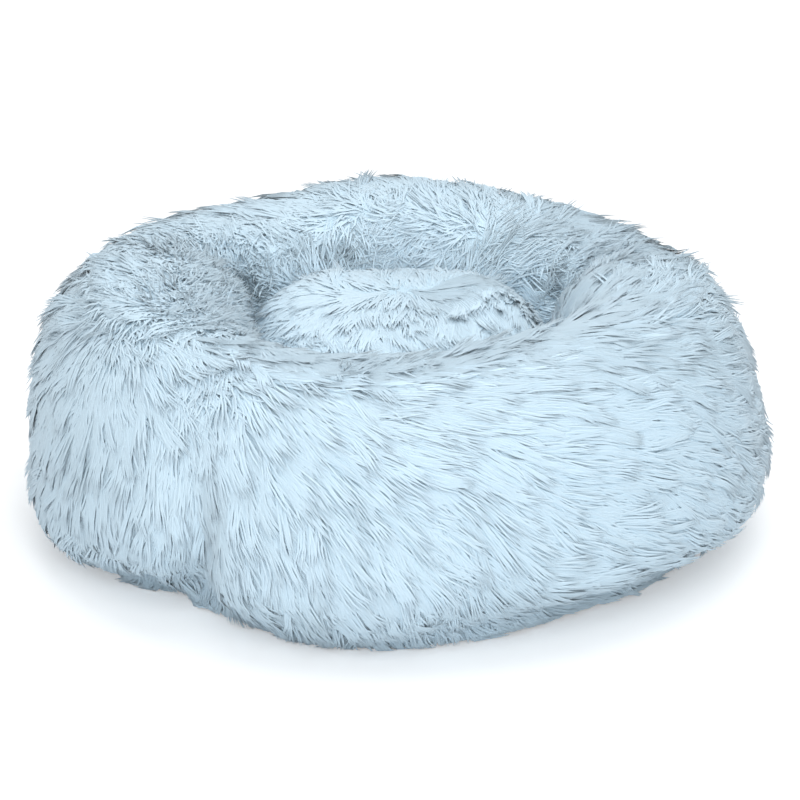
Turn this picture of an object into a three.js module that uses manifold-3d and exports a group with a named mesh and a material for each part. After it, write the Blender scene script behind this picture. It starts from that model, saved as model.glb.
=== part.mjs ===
// Plush donut pet bed: a stuffed ring round a crowned nest cushion, on a non-slip base
// panel with a short zip. Millimetres, +Z up, floor at z = 0, front at -Y, zip along X.
import * as THREE from 'three';
import { mergeVertices } from 'three/addons/utils/BufferGeometryUtils.js';
import Module from 'manifold-3d';

// Driving dimensions of the ring
const bedDiameter = 490; // over the laid pile
const bedHeight = 181; // floor to the ring's top
const crestDiameter = 322; // circle that the ring's top follows
const nestDiameter = 200; // between the ring's inner sides, at its waist
const widestHeight = 50; // level where the ring bulges most
const sinkDepth = 4; // how far the ring's round belly would reach below the floor
const coverThickness = 9; // backing cloth with its laid pile
const seamGap = 0.6; // between neighbouring cover panels, at the outside
const layerGap = 0.5; // between a cover and its filling
const seatGap = 0.3; // between pieces that rest on each other

// Driving dimensions of the cushion
const cushionHeight = 158; // floor to the crown
const shoulderHeight = 112; // level where the crown starts
const cushionThickness = 8; // backing cloth with its laid pile
const cushionGap = 0.6; // between the cushion and the ring's inner side

// Driving dimensions of the base
const baseDiameter = 388;
const baseThickness = 0.8;
const dotHeight = 1.9;
const dotDiameter = 7;
const dotSpacing = 44;
const dotMargin = 12; // bare cloth between a dot and any edge

// Driving dimensions of the zip
const chainLength = 186;
const slotWidth = 13; // gap between the base panels, where the chain shows
const tapeWidth = 12;
const tapeThickness = 0.6;
const tapeOverhang = 6; // tape past each end of the chain
const rowWidth = 2.9;
const rowHeight = 2;
const rowGap = 1.4; // between the two rows, where the slider's wedge runs
const zipGap = 0.3; // clearance between the zip's parts
const stopLength = 2.6;
const sliderLength = 12;
const sliderWidth = 10;
const sliderTailWidth = 8.4;
const plateThickness = 0.8;
const wedgeWidth = 0.7;
const wedgeLength = 4;
const flangeWidth = 0.8;
const bridgeLength = 6.2;
const bridgeWidth = 1.6;
const bridgeThickness = 0.4;
const bridgePost = 0.7;
const bridgeRise = 1.1; // clear height under the bridge, where the puller's bar turns
const pullerLength = 26;
const pullerWidth = 7;
const pullerNeckWidth = 5;
const pullerThickness = 0.5;
const pullerBar = 0.7;
const eyeLength = 4.4;
const eyeWidth = 3.2;
const gripHoleDiameter = 3;

// Driving dimensions of the care label
const labelWidth = 30;
const labelLength = 22;
const labelThickness = 0.6;
const labelAzimuth = THREE.MathUtils.degToRad(62);

// Counts
const panelCount = 4;
const stepsPerPanel = 16;
const outerSteps = 18;
const innerSteps = 14;
const cushionTurns = 32;
const sideSteps = 5;
const crownSteps = 8;
const arcSteps = 36;
const dotSides = 8;

// Form of the ring: fullness and height change gently round it, from azimuth 0 at +X
const upperPower = 2.55;
const lowerPower = 1.85;
const footThinShare = 0.4; // the cover's layers press together towards the floor
const fullnessShares = [0, -0.02, -0.02, 0, 0.02, 0.02, 0, -0.02, -0.02, 0, -0.02, 0.02];
const heightShares = [0, -0.05, -0.02, 0.02, -0.03, -0.01, 0.03, 0.02, -0.01, 0, 0.03, 0.02];
const crownPower = 3.4;
const crownShares = [0.02, -0.02, 0, 0.03, 0, -0.03, 0.01, 0.02, -0.02, 0, 0.02, -0.01];

// Gathered folds on the outside: one at the front left seam, one leaning tuck at the front
const foldDepth = 11;
const foldWidth = 17;
const firstSeam = THREE.MathUtils.degToRad(236);
const folds = [
  { azimuth: firstSeam, lean: 0, reachShare: 0.85, depthShare: 1 },
  { azimuth: THREE.MathUtils.degToRad(288), lean: THREE.MathUtils.degToRad(-14), reachShare: 0.6,
    depthShare: 0.8 },
  { azimuth: THREE.MathUtils.degToRad(122), lean: THREE.MathUtils.degToRad(6), reachShare: 1.1,
    depthShare: 0.6 },
  { azimuth: THREE.MathUtils.degToRad(38), lean: 0, reachShare: 0.8, depthShare: 0.5 },
];

// Levels and radii that follow
const tau = 2 * Math.PI;
const bedRadius = bedDiameter / 2;
const crestRadius = crestDiameter / 2;
const outerHalf = bedRadius - crestRadius;
const innerHalf = crestRadius - nestDiameter / 2;
const bellyDepth = widestHeight + sinkDepth;
const baseTop = dotHeight + baseThickness;
const footLevel = baseTop + seatGap;
const tapeLevel = baseTop + seatGap;
const tapeTop = tapeLevel + tapeThickness;
const rowLevel = tapeLevel;
const rowTop = rowLevel + rowHeight;
const lowerPlateTop = rowLevel - zipGap;
const lowerPlateLevel = lowerPlateTop - plateThickness;
const upperPlateLevel = rowTop + zipGap;
const sliderTop = upperPlateLevel + plateThickness;
const rowInner = rowGap / 2;
const rowOuter = rowInner + rowWidth;
const tapeInner = rowOuter + zipGap;
const rowLength = chainLength - 2 * (stopLength + zipGap);
const sliderRest = rowLength / 2 - sliderLength / 2;
const pivotLevel = lowerPlateLevel - bridgeRise / 2;
const fillLevel = tapeTop + seatGap;
const overrun = 1; // how far a joined or cutting solid reaches past a face

const wasm = await Module();
wasm.setup();

// Materials
function cloth(color, roughness = 0.95) {
  return new THREE.MeshStandardMaterial({ color, roughness, metalness: 0 });
}
const plush = cloth(0xc3dce8);
const fibre = cloth(0xf2f4f4);
const baseCloth = cloth(0x8fa3b0, 0.85);
const tapeCloth = cloth(0xb4cbd8, 0.9);
const coilPlastic = new THREE.MeshStandardMaterial({ color: 0xa9c2d0, roughness: 0.45, metalness: 0 });
const nickel = new THREE.MeshStandardMaterial({ color: 0xb9bcc0, roughness: 0.3, metalness: 1 });
const satin = cloth(0xf4f6f6, 0.6);

// Shared geometry helpers

/** Smooth value from shares spaced evenly round the ring. */
function around(shares, azimuth) {
  const place = ((((azimuth / tau) % 1) + 1) % 1) * shares.length;
  const index = Math.floor(place);
  const blend = THREE.MathUtils.smoothstep(place - index, 0, 1);
  return THREE.MathUtils.lerp(shares[index % shares.length], shares[(index + 1) % shares.length], blend);
}

/** Signed power, the building block of a rounded-square section. */
function bulge(value, power) {
  return Math.sign(value) * Math.abs(value) ** (2 / power);
}

/** Angle below the horizontal at which a section inset by so much meets a level. */
function footAngle(inset, level) {
  const share = (widestHeight - level) / (bellyDepth - inset * footThinShare);
  return Math.asin(share ** (lowerPower / 2));
}

/** How far the outside is drawn in by its folds. climb is 0 at the foot and 1 at the crest. */
function drawnIn(azimuth, climb) {
  let depth = 0;
  for (const fold of folds) {
    const turn = azimuth - fold.azimuth - fold.lean * climb;
    const distance = (turn - tau * Math.round(turn / tau)) * bedRadius;
    const fade = Math.max(0, 1 - (climb / fold.reachShare) ** 2);
    depth += foldDepth * fold.depthShare * fade * Math.exp(-((distance / foldWidth) ** 2));
  }
  return depth;
}

/** Point of the ring's section: angle 0 is outwards, a quarter turn is the crest. */
function ringPoint(azimuth, angle, inset) {
  const across = Math.cos(angle);
  const up = Math.sin(angle);
  const power = up < 0 ? lowerPower : upperPower;
  const lowest = -footAngle(0, footLevel);
  const climb = THREE.MathUtils.clamp((angle - lowest) / (Math.PI / 2 - lowest), 0, 2);
  const fold = inset + drawnIn(azimuth, climb);
  const outer = outerHalf * (1 + around(fullnessShares, azimuth)) - fold;
  const width = across < 0 ? innerHalf - inset : outer;
  const rise = bedHeight * (1 + around(heightShares, azimuth)) - widestHeight - inset;
  const height = up < 0 ? bellyDepth - inset * footThinShare : rise;
  return [crestRadius + width * bulge(across, power), widestHeight + height * bulge(up, power)];
}

/** Section points from the outer foot over the crest to the inner foot. */
function ringArc(azimuth, inset, foot, steps) {
  return Array.from({ length: steps + 1 }, (_, i) => {
    const angle = -foot + ((Math.PI + 2 * foot) * i) / steps;
    return ringPoint(azimuth, angle, inset);
  });
}

/** Turns a list of [radius, height] points into a loop in space at an azimuth. */
function loopAt(azimuth, outline) {
  return outline.map(([radius, z]) => [radius * Math.cos(azimuth), radius * Math.sin(azimuth), z]);
}

/**
 * Closed skin through loops of points; an open sweep gets a flat end on each side.
 * Points from returnStart on run back the other way, and their faces are split to match.
 */
function loft(azimuths, outlineAt, closed, returnStart = Infinity) {
  const outlines = azimuths.map(outlineAt);
  const points = azimuths.flatMap((azimuth, i) => loopAt(azimuth, outlines[i]));
  const size = outlines[0].length;
  const indices = [];
  const spans = closed ? azimuths.length : azimuths.length - 1;
  for (let i = 0; i < spans; i += 1) {
    const next = (i + 1) % azimuths.length;
    for (let j = 0; j < size; j += 1) {
      const side = (j + 1) % size;
      const [a, b] = [i * size + j, next * size + j];
      const [c, d] = [next * size + side, i * size + side];
      indices.push(...(j < returnStart ? [a, b, c, a, c, d] : [a, b, d, b, c, d]));
    }
  }
  if (!closed) {
    const last = (azimuths.length - 1) * size;
    for (const [start, flip] of [[0, false], [last, true]]) {
      const outline = outlines[start / size].map(([x, y]) => new THREE.Vector2(x, y));
      for (const [a, b, c] of THREE.ShapeUtils.triangulateShape(outline, [])) {
        indices.push(start + a, start + (flip ? c : b), start + (flip ? b : c));
      }
    }
  }
  return weld(points.flat(), indices);
}

/** Geometry with shared vertices and without the empty triangles on the axis. */
function weld(positions, indices) {
  const raw = new THREE.BufferGeometry();
  raw.setAttribute('position', new THREE.Float32BufferAttribute(positions, 3));
  raw.setIndex(indices);
  const merged = mergeVertices(raw);
  const index = merged.getIndex().array;
  const kept = [];
  for (let i = 0; i < index.length; i += 3) {
    const [a, b, c] = [index[i], index[i + 1], index[i + 2]];
    if (a !== b && b !== c && c !== a) {
      kept.push(a, b, c);
    }
  }
  merged.setIndex(kept);
  return merged;
}

/** Evenly spaced azimuths from the first seam. */
function turns(count) {
  return Array.from({ length: count }, (_, i) => firstSeam + (tau * i) / count);
}

/** Solid for joining and cutting. */
function solid(geometry) {
  const bare = geometry.clone();
  bare.deleteAttribute('normal');
  bare.deleteAttribute('uv');
  const merged = mergeVertices(bare);
  return new wasm.Manifold(new wasm.Mesh({
    numProp: 3,
    vertProperties: new Float32Array(merged.getAttribute('position').array),
    triVerts: new Uint32Array(merged.getIndex().array),
  }));
}

/** Geometry of a joined or cut solid. */
function geometryOf(body) {
  const mesh = body.getMesh();
  const geometry = new THREE.BufferGeometry();
  geometry.setAttribute('position', new THREE.BufferAttribute(new Float32Array(mesh.vertProperties), 3));
  geometry.setIndex(new THREE.BufferAttribute(new Uint32Array(mesh.triVerts), 1));
  return geometry;
}

/** Joins several solids into one geometry. */
function joined(parts) {
  return geometryOf(parts.map(solid).reduce((whole, part) => whole.add(part)));
}

/** Box from its low corner and its size. */
function block(low, size) {
  const box = new THREE.BoxGeometry(...size);
  return box.translate(...low.map((value, i) => value + size[i] / 2));
}

/** Flat plate of an outline, from a level upwards. */
function plate(shape, level, thickness) {
  const options = { depth: thickness, bevelEnabled: false, curveSegments: arcSteps };
  return new THREE.ExtrudeGeometry(shape, options).translate(0, 0, level);
}

const bed = new THREE.Group();

/** Adds one named piece to the bed and gives it back for placing. */
function add(name, geometry, material) {
  const mesh = new THREE.Mesh(geometry, material);
  mesh.name = name;
  bed.add(mesh);
  return mesh;
}

// Ring: four plush panels over one fibre core

const outerFoot = footAngle(0, footLevel);
const innerFoot = footAngle(coverThickness, footLevel);

/** Shell section of a cover panel: outside going over, inside coming back. */
function panelSection(azimuth) {
  const outside = ringArc(azimuth, 0, outerFoot, outerSteps);
  const inside = ringArc(azimuth, coverThickness, innerFoot, innerSteps);
  return [...outside, ...inside.reverse()];
}

/** One cover panel between two cross seams. */
function coverPanel(index) {
  const step = tau / (panelCount * stepsPerPanel);
  const start = firstSeam + (tau * index) / panelCount;
  const inset = seamGap / 2 / bedRadius;
  const azimuths = Array.from({ length: stepsPerPanel + 1 }, (_, i) => start + step * i);
  azimuths[0] += inset;
  azimuths[stepsPerPanel] -= inset;
  return loft(azimuths, panelSection, false, outerSteps + 1);
}

const panelNames = ['front', 'right', 'back', 'left'];
panelNames.forEach((place, i) => add(`bolster_cover_${place}`, coverPanel(i), plush));

const fillSection = (azimuth) => ringArc(azimuth, coverThickness + layerGap, innerFoot, innerSteps);
add('bolster_fill', loft(turns(panelCount * stepsPerPanel), fillSection, true), fibre);

// Cushion: a crowned plush cover over its own fibre core

/** Cushion outline from its foot up its drawn-in side and over the crown to the axis. */
function cushionArc(azimuth, inset, level) {
  const foot = footAngle(-cushionGap, level);
  const top = Math.asin(((shoulderHeight - widestHeight) / (bedHeight - widestHeight)) ** (upperPower / 2));
  const side = Array.from({ length: sideSteps + 1 }, (_, i) => {
    const angle = Math.PI + foot - ((foot + top) * i) / sideSteps;
    const [radius, z] = ringPoint(azimuth, angle, 0);
    return [radius - cushionGap - inset, Math.max(z, level)];
  });
  const [shoulderRadius, shoulderLevel] = side[sideSteps];
  const rise = cushionHeight - shoulderLevel - inset;
  const crown = Array.from({ length: crownSteps }, (_, i) => {
    const angle = (Math.PI / 2) * ((i + 1) / crownSteps);
    const reach = i + 1 < crownSteps ? bulge(Math.cos(angle), crownPower) : 0;
    const height = rise * (1 + around(crownShares, azimuth) * reach);
    return [shoulderRadius * reach, shoulderLevel + height * bulge(Math.sin(angle), crownPower)];
  });
  return [...side, ...crown];
}

const cushionShell = (azimuth) => [
  ...cushionArc(azimuth, 0, footLevel),
  ...cushionArc(azimuth, cushionThickness, footLevel).reverse(),
];
const cushionPoints = sideSteps + crownSteps + 1;
add('cushion_cover', loft(turns(cushionTurns), cushionShell, true, cushionPoints), plush);

/** Core of the cushion, closed flat underneath. */
function cushionCore(azimuth) {
  return [...cushionArc(azimuth, cushionThickness + layerGap, fillLevel), [0, fillLevel]];
}

const grooveWidth = sliderWidth + 2 * zipGap;
const grooveCut = block(
  [-chainLength / 2, -grooveWidth / 2, fillLevel - overrun],
  [chainLength, grooveWidth, sliderTop + zipGap - fillLevel + overrun],
);
const cushionSolid = solid(loft(turns(cushionTurns), cushionCore, true));
add('cushion_fill', geometryOf(cushionSolid.subtract(solid(grooveCut))), fibre);

// Base: two half discs of non-slip cloth that meet at the zip

/** Outline of the half behind the zip; the front half is the same, turned about Z. */
function halfDisc() {
  const radius = baseDiameter / 2;
  const edge = seatGap / 2;
  const slotEnd = chainLength / 2 + tapeOverhang;
  const start = Math.asin(edge / radius);
  const shape = new THREE.Shape();
  shape.moveTo(slotEnd, slotWidth / 2);
  shape.lineTo(slotEnd, edge);
  shape.absarc(0, 0, radius, start, Math.PI - start, false);
  shape.lineTo(-slotEnd, edge);
  shape.lineTo(-slotEnd, slotWidth / 2);
  shape.closePath();
  return shape;
}

/** Places of the moulded dots on the half disc, in staggered rows. */
function dotPlaces() {
  const places = [];
  const reach = baseDiameter / 2 - dotMargin;
  const rowSpacing = dotSpacing * Math.sin(Math.PI / 3);
  let row = 0;
  for (let y = slotWidth / 2 + dotMargin; y < reach; y += rowSpacing) {
    const start = row % 2 === 0 ? 0 : dotSpacing / 2;
    for (let x = start; Math.hypot(x, y) < reach; x += dotSpacing) {
      places.push([x, y]);
      if (x > 0) {
        places.push([-x, y]);
      }
    }
    row += 1;
  }
  return places;
}

/** Half disc with its dots moulded on underneath. */
function basePanel() {
  const sheet = plate(halfDisc(), dotHeight, baseThickness);
  const depth = dotHeight + baseThickness / 2;
  const dots = dotPlaces().map(([x, y]) => {
    const dot = new THREE.CylinderGeometry(dotDiameter / 2, dotDiameter / 2, depth, dotSides);
    return dot.rotateX(Math.PI / 2).translate(x, y, depth / 2);
  });
  return joined([sheet, ...dots]);
}

const panelShape = basePanel();
add('base_panel_back', panelShape, baseCloth);
add('base_panel_front', panelShape.clone(), baseCloth).rotation.z = Math.PI;

// Zip: a tape and a coil row on each side, end stops, a slider and its puller

/** Rounded bar that stands for one row of the coil. */
function coilRow() {
  const chamfer = rowHeight / 4;
  const shape = new THREE.Shape();
  shape.moveTo(rowInner, rowLevel + chamfer);
  shape.lineTo(rowInner + chamfer, rowLevel);
  shape.lineTo(rowOuter - chamfer, rowLevel);
  shape.lineTo(rowOuter, rowLevel + chamfer);
  shape.lineTo(rowOuter, rowTop - chamfer);
  shape.lineTo(rowOuter - chamfer, rowTop);
  shape.lineTo(rowInner + chamfer, rowTop);
  shape.lineTo(rowInner, rowTop - chamfer);
  shape.closePath();
  const bar = new THREE.ExtrudeGeometry(shape, { depth: rowLength, bevelEnabled: false });
  return bar.rotateX(Math.PI / 2).rotateZ(Math.PI / 2).translate(-rowLength / 2, 0, 0);
}

/** Woven tape beside a coil row. */
function tapeStrip() {
  const length = chainLength + 2 * tapeOverhang;
  return block([-length / 2, tapeInner, tapeLevel], [length, tapeWidth, tapeThickness]);
}

/** Crimped end stop: where it starts along the chain, where across it, and how wide it is. */
function endStop(start, low, width) {
  return block([start, low, rowLevel], [stopLength, width, rowHeight]);
}

for (const [place, turn] of [['back', 0], ['front', Math.PI]]) {
  add(`zip_tape_${place}`, tapeStrip(), tapeCloth).rotation.z = turn;
  add(`zip_coil_${place}`, coilRow(), coilPlastic).rotation.z = turn;
}
const topStart = rowLength / 2 + zipGap;
add('zip_top_stop_back', endStop(topStart, rowInner, rowWidth), nickel);
add('zip_top_stop_front', endStop(topStart, -rowOuter, rowWidth), nickel);
add('zip_bottom_stop', endStop(-topStart - stopLength, -rowOuter, 2 * rowOuter), nickel);

/** Slider plate seen from above: broad at the nose, narrower at the tail. */
function sliderOutline() {
  const [nose, tail] = [sliderWidth / 2, sliderTailWidth / 2];
  const half = sliderLength / 2;
  const shape = new THREE.Shape();
  shape.moveTo(-half, -tail);
  shape.lineTo(0, -nose);
  shape.lineTo(half - wedgeLength / 2, -nose);
  shape.lineTo(half, -wedgeWidth);
  shape.lineTo(half, wedgeWidth);
  shape.lineTo(half - wedgeLength / 2, nose);
  shape.lineTo(0, nose);
  shape.lineTo(-half, tail);
  shape.closePath();
  return shape;
}

/** Slider: two plates on a wedge, flanges that hold the rows, and the puller's bridge. */
function slider() {
  const half = sliderLength / 2;
  const wedgeHeight = sliderTop - lowerPlateLevel;
  const flangeLevel = tapeTop + zipGap;
  const flangeSize = [half - wedgeLength / 2, flangeWidth, sliderTop - flangeLevel];
  const bridgeLevel = lowerPlateLevel - bridgeRise - bridgeThickness;
  const bridgeSize = [bridgeLength, bridgeWidth, bridgeThickness];
  const postSize = [bridgePost, bridgeWidth, bridgeThickness + bridgeRise + plateThickness / 2];
  const bridgeStart = -bridgeLength / 2;
  return joined([
    plate(sliderOutline(), lowerPlateLevel, plateThickness),
    plate(sliderOutline(), upperPlateLevel, plateThickness),
    block([half - wedgeLength, -wedgeWidth / 2, lowerPlateLevel], [wedgeLength, wedgeWidth, wedgeHeight]),
    block([0, tapeInner, flangeLevel], flangeSize),
    block([0, -tapeInner - flangeWidth, flangeLevel], flangeSize),
    block([bridgeStart, -bridgeWidth / 2, bridgeLevel], bridgeSize),
    block([bridgeStart, -bridgeWidth / 2, bridgeLevel], postSize),
    block([-bridgeStart - bridgePost, -bridgeWidth / 2, bridgeLevel], postSize),
  ]);
}

add('zip_slider', slider(), nickel).position.x = sliderRest;

/** Flat puller from its bar at x = 0 towards -X, with an eye and a grip hole. */
function puller() {
  const [tip, neck] = [pullerWidth / 2, pullerNeckWidth / 2];
  const start = pullerBar / 2;
  const shape = new THREE.Shape();
  shape.moveTo(start, -neck);
  shape.lineTo(start, neck);
  shape.lineTo(-start - eyeLength, neck);
  shape.lineTo(-pullerLength + tip, tip);
  shape.absarc(-pullerLength + tip, 0, tip, Math.PI / 2, (3 * Math.PI) / 2, false);
  shape.lineTo(-start - eyeLength, -neck);
  shape.closePath();
  const eye = new THREE.Path();
  eye.moveTo(-start, -eyeWidth / 2);
  eye.lineTo(-start - eyeLength, -eyeWidth / 2);
  eye.lineTo(-start - eyeLength, eyeWidth / 2);
  eye.lineTo(-start, eyeWidth / 2);
  eye.closePath();
  const grip = new THREE.Path();
  grip.absarc(-pullerLength + tip, 0, gripHoleDiameter / 2, 0, tau, true);
  shape.holes.push(eye, grip);
  const options = { depth: pullerThickness, bevelEnabled: false, curveSegments: dotSides };
  return new THREE.ExtrudeGeometry(shape, options).translate(0, 0, -pullerThickness / 2);
}

add('zip_puller', puller(), nickel).position.set(sliderRest, 0, pivotLevel);

// Care label: a blank satin loop sewn into the base seam at the back

const label = block([0, -labelWidth / 2, 0], [labelLength, labelWidth, labelThickness]);
const labelStart = baseDiameter / 2 + seatGap;
const labelMesh = add('care_label', label, satin);
labelMesh.rotation.z = labelAzimuth;
labelMesh.position.set(
  labelStart * Math.cos(labelAzimuth),
  labelStart * Math.sin(labelAzimuth),
  dotHeight + (baseThickness - labelThickness) / 2,
);

export default bed;
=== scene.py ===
# %% [markdown]
# # A plush donut pet bed
# A round calming bed is a stuffed ring round a stuffed cushion, both covered in long shaggy
# pile. Nearly everything that the eye sees is pile, so most of this lesson is about growing it:
# first the stuffed forms, then the way the pile is combed, then more than a hundred thousand
# strands that lie along that comb in locks.

# %% The frame
import math

import bpy
import numpy as np
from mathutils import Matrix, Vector
from mathutils.bvhtree import BVHTree


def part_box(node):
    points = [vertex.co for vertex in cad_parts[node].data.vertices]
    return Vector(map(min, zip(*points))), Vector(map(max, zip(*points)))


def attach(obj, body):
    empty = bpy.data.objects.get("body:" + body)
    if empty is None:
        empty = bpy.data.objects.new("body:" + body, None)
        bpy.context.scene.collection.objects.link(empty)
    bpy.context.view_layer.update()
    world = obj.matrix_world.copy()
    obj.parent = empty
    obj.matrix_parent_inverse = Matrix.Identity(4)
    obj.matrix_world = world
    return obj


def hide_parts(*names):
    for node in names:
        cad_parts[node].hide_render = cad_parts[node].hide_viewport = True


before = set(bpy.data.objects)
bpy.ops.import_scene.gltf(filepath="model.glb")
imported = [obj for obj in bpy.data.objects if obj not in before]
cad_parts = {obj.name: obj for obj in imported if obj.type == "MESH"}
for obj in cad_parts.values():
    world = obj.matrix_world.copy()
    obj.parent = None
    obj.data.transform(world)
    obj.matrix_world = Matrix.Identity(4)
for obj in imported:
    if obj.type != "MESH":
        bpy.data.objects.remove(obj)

MM = 0.001
TAU = 2 * math.pi
BODY = "bed"
scene = bpy.context.scene
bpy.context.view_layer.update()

# %% [markdown]
# ## Camera
# The photograph was taken from far away with a long lens, a little above the bed. The ring's
# near and far edges differ little in scale, which fixes the distance, and how far its top opens
# into an ellipse fixes the height. Those two give the lens.

# %% Camera
IMAGE_WIDTH = 800
SENSOR_WIDTH = 36
FOCAL_PIXELS = 3944
AXIS_PIXEL = (397, 394.5)
CAMERA_RISE = math.radians(21.8)
CAMERA_DISTANCE = 2590 * MM
CAMERA_TARGET = Vector((0, 0, 92 * MM))

camera_back = Vector((0, -math.cos(CAMERA_RISE), math.sin(CAMERA_RISE)))
camera_right = Vector((1, 0, 0))
camera_up = camera_back.cross(camera_right)
camera_data = bpy.data.cameras.new("camera")
camera_data.sensor_width = SENSOR_WIDTH
camera_data.lens = FOCAL_PIXELS / IMAGE_WIDTH * SENSOR_WIDTH
camera_data.shift_x = (IMAGE_WIDTH / 2 - AXIS_PIXEL[0]) / IMAGE_WIDTH
camera_data.shift_y = (AXIS_PIXEL[1] - IMAGE_WIDTH / 2) / IMAGE_WIDTH
camera = bpy.data.objects.new("camera", camera_data)
camera.location = CAMERA_TARGET + camera_back * CAMERA_DISTANCE
camera.rotation_euler = (math.pi / 2 - CAMERA_RISE, 0, 0)
scene.collection.objects.link(camera)
scene.camera = camera
scene.view_settings.view_transform = "Standard"
print("camera at", tuple(round(v, 3) for v in camera.location), "lens", round(camera_data.lens, 1))

# %% [markdown]
# ## Studio
# Pile needs soft light: a hard lamp would draw every strand's shadow. A pale world lights the
# bed from all sides, and one broad lamp above the camera makes the front the brightest part, as
# it is in the photograph. The floor glows faintly for the camera alone, so that it comes out
# white but still takes the bed's shadow. Farther off it glows more, because the lamps reach it
# less, and so no horizon shows from low down.

# %% World and floor
WHITE = (1, 1, 1, 1)
WORLD_LEVEL = 0.55
FLOOR_SIZE = 12
FLOOR_COLOR = (0.86, 0.87, 0.88, 1)
# The floor's glow near the bed and far off, and the distances in metres between which it grows
NEAR_GLOW = 0.3
FAR_GLOW = 0.85
NEAR_FLOOR = 0.7
FAR_FLOOR = 2.6


def seen_by_camera(tree):
    """1 for camera, glossy and transmission rays, and 0 for the rays that light things."""
    path = tree.nodes.new("ShaderNodeLightPath")
    total = None
    for name in ("Is Camera Ray", "Is Glossy Ray", "Is Transmission Ray"):
        if total is None:
            total = path.outputs[name]
            continue
        joined = tree.nodes.new("ShaderNodeMath")
        joined.operation = "MAXIMUM"
        tree.links.new(total, joined.inputs[0])
        tree.links.new(path.outputs[name], joined.inputs[1])
        total = joined.outputs[0]
    return total


def studio_world():
    """Pale light from all sides, and plain white where the camera sees past the floor."""
    world = bpy.data.worlds.new("studio")
    world.use_nodes = True
    tree = world.node_tree
    tree.nodes.clear()
    result = tree.nodes.new("ShaderNodeOutputWorld")
    mix = tree.nodes.new("ShaderNodeMixShader")
    for socket, level in ((1, WORLD_LEVEL), (2, 1)):
        background = tree.nodes.new("ShaderNodeBackground")
        background.inputs["Color"].default_value = WHITE
        background.inputs["Strength"].default_value = level
        tree.links.new(background.outputs[0], mix.inputs[socket])
    tree.links.new(seen_by_camera(tree), mix.inputs[0])
    tree.links.new(mix.outputs[0], result.inputs["Surface"])
    return world


def floor_material():
    """Matt pale floor that glows for the camera, more so far from the bed."""
    material = bpy.data.materials.new("studio_floor")
    material.use_nodes = True
    tree = material.node_tree
    shader = tree.nodes["Principled BSDF"]
    shader.inputs["Base Color"].default_value = FLOOR_COLOR
    shader.inputs["Roughness"].default_value = 0.9
    shader.inputs["Specular IOR Level"].default_value = 0
    shader.inputs["Emission Color"].default_value = WHITE
    place = tree.nodes.new("ShaderNodeTexCoord")
    distance = tree.nodes.new("ShaderNodeVectorMath")
    distance.operation = "LENGTH"
    tree.links.new(place.outputs["Object"], distance.inputs[0])
    spread = tree.nodes.new("ShaderNodeMapRange")
    spread.inputs["From Min"].default_value = NEAR_FLOOR
    spread.inputs["From Max"].default_value = FAR_FLOOR
    spread.inputs["To Min"].default_value = NEAR_GLOW
    spread.inputs["To Max"].default_value = FAR_GLOW
    tree.links.new(distance.outputs["Value"], spread.inputs["Value"])
    glow = tree.nodes.new("ShaderNodeMath")
    glow.operation = "MULTIPLY"
    tree.links.new(seen_by_camera(tree), glow.inputs[0])
    tree.links.new(spread.outputs["Result"], glow.inputs[1])
    tree.links.new(glow.outputs[0], shader.inputs["Emission Strength"])
    return material


scene.world = studio_world()
floor_mesh = bpy.data.meshes.new("floor")
half = FLOOR_SIZE / 2
floor_mesh.from_pydata([(-half, -half, 0), (half, -half, 0), (half, half, 0), (-half, half, 0)], [],
                       [(0, 1, 2, 3)])
floor_mesh.materials.append(floor_material())
floor = bpy.data.objects.new("floor", floor_mesh)
scene.collection.objects.link(floor)
print("floor and world ready")

# %% Lamps
LAMPS = (
    # name, place in metres, size, watts
    ("key", (0.1, -2.4, 1.7), 1.7, 39),
    ("top", (0.3, 0.2, 2.6), 2.2, 26),
)
for name, place, size, watts in LAMPS:
    lamp_data = bpy.data.lights.new(name, "AREA")
    lamp_data.size = size
    lamp_data.energy = watts
    lamp = bpy.data.objects.new(name, lamp_data)
    lamp.location = place
    lamp.rotation_euler = (CAMERA_TARGET - Vector(place)).to_track_quat("-Z", "Y").to_euler()
    scene.collection.objects.link(lamp)
    print("lamp", name, watts, "W")

# %% [markdown]
# ## Stuffed forms
# The CAD covers are plain closed shells that stand for the ring with its pile laid flat. The
# real backing cloth lies a few millimetres under the tips of the pile, so each skin is found by
# feeling for the CAD shell from outside: rays run inwards to the middle of the ring's section,
# and the skin lies a fixed depth below the point that they hit. A skin is a grid of points, in
# turns round the bed and steps over the section, which makes it easy to bend afterwards.

# %% Feeling for the covers
PANELS = ("front", "right", "back", "left")
COVERS = tuple(f"bolster_cover_{place}" for place in PANELS)
FEELER_REACH = 200 * MM
# Middle of the ring's section: its distance from the bed's axis and its level
CREST_RADIUS = 161 * MM
BELLY_LEVEL = 62 * MM


def node_tree(names):
    """Search tree over the faces of some CAD nodes."""
    points = []
    faces = []
    for name in names:
        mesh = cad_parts[name].data
        start = len(points)
        points.extend(vertex.co.copy() for vertex in mesh.vertices)
        faces.extend([start + i for i in polygon.vertices] for polygon in mesh.polygons)
    return BVHTree.FromPolygons(points, faces)


def feel(tree, centre, direction, depth):
    """Point at a depth below the outside that a ray from outside meets on its way to the centre."""
    start = centre + direction * FEELER_REACH
    place, normal, _, _ = tree.ray_cast(start, -direction)
    if place is None:
        return None
    return place - normal * depth


cover_box = [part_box(name) for name in COVERS]
ring_tree = node_tree(COVERS)
nest_low, nest_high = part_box("cushion_cover")
bed_radius = max(high.x for _, high in cover_box)
ring_top = max(high.z for _, high in cover_box)
foot_level = min(low.z for low, _ in cover_box)
base_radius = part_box("base_panel_back")[1].x
print("bed radius", round(bed_radius, 4), "top", round(ring_top, 4), "foot", round(foot_level, 4))

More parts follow.
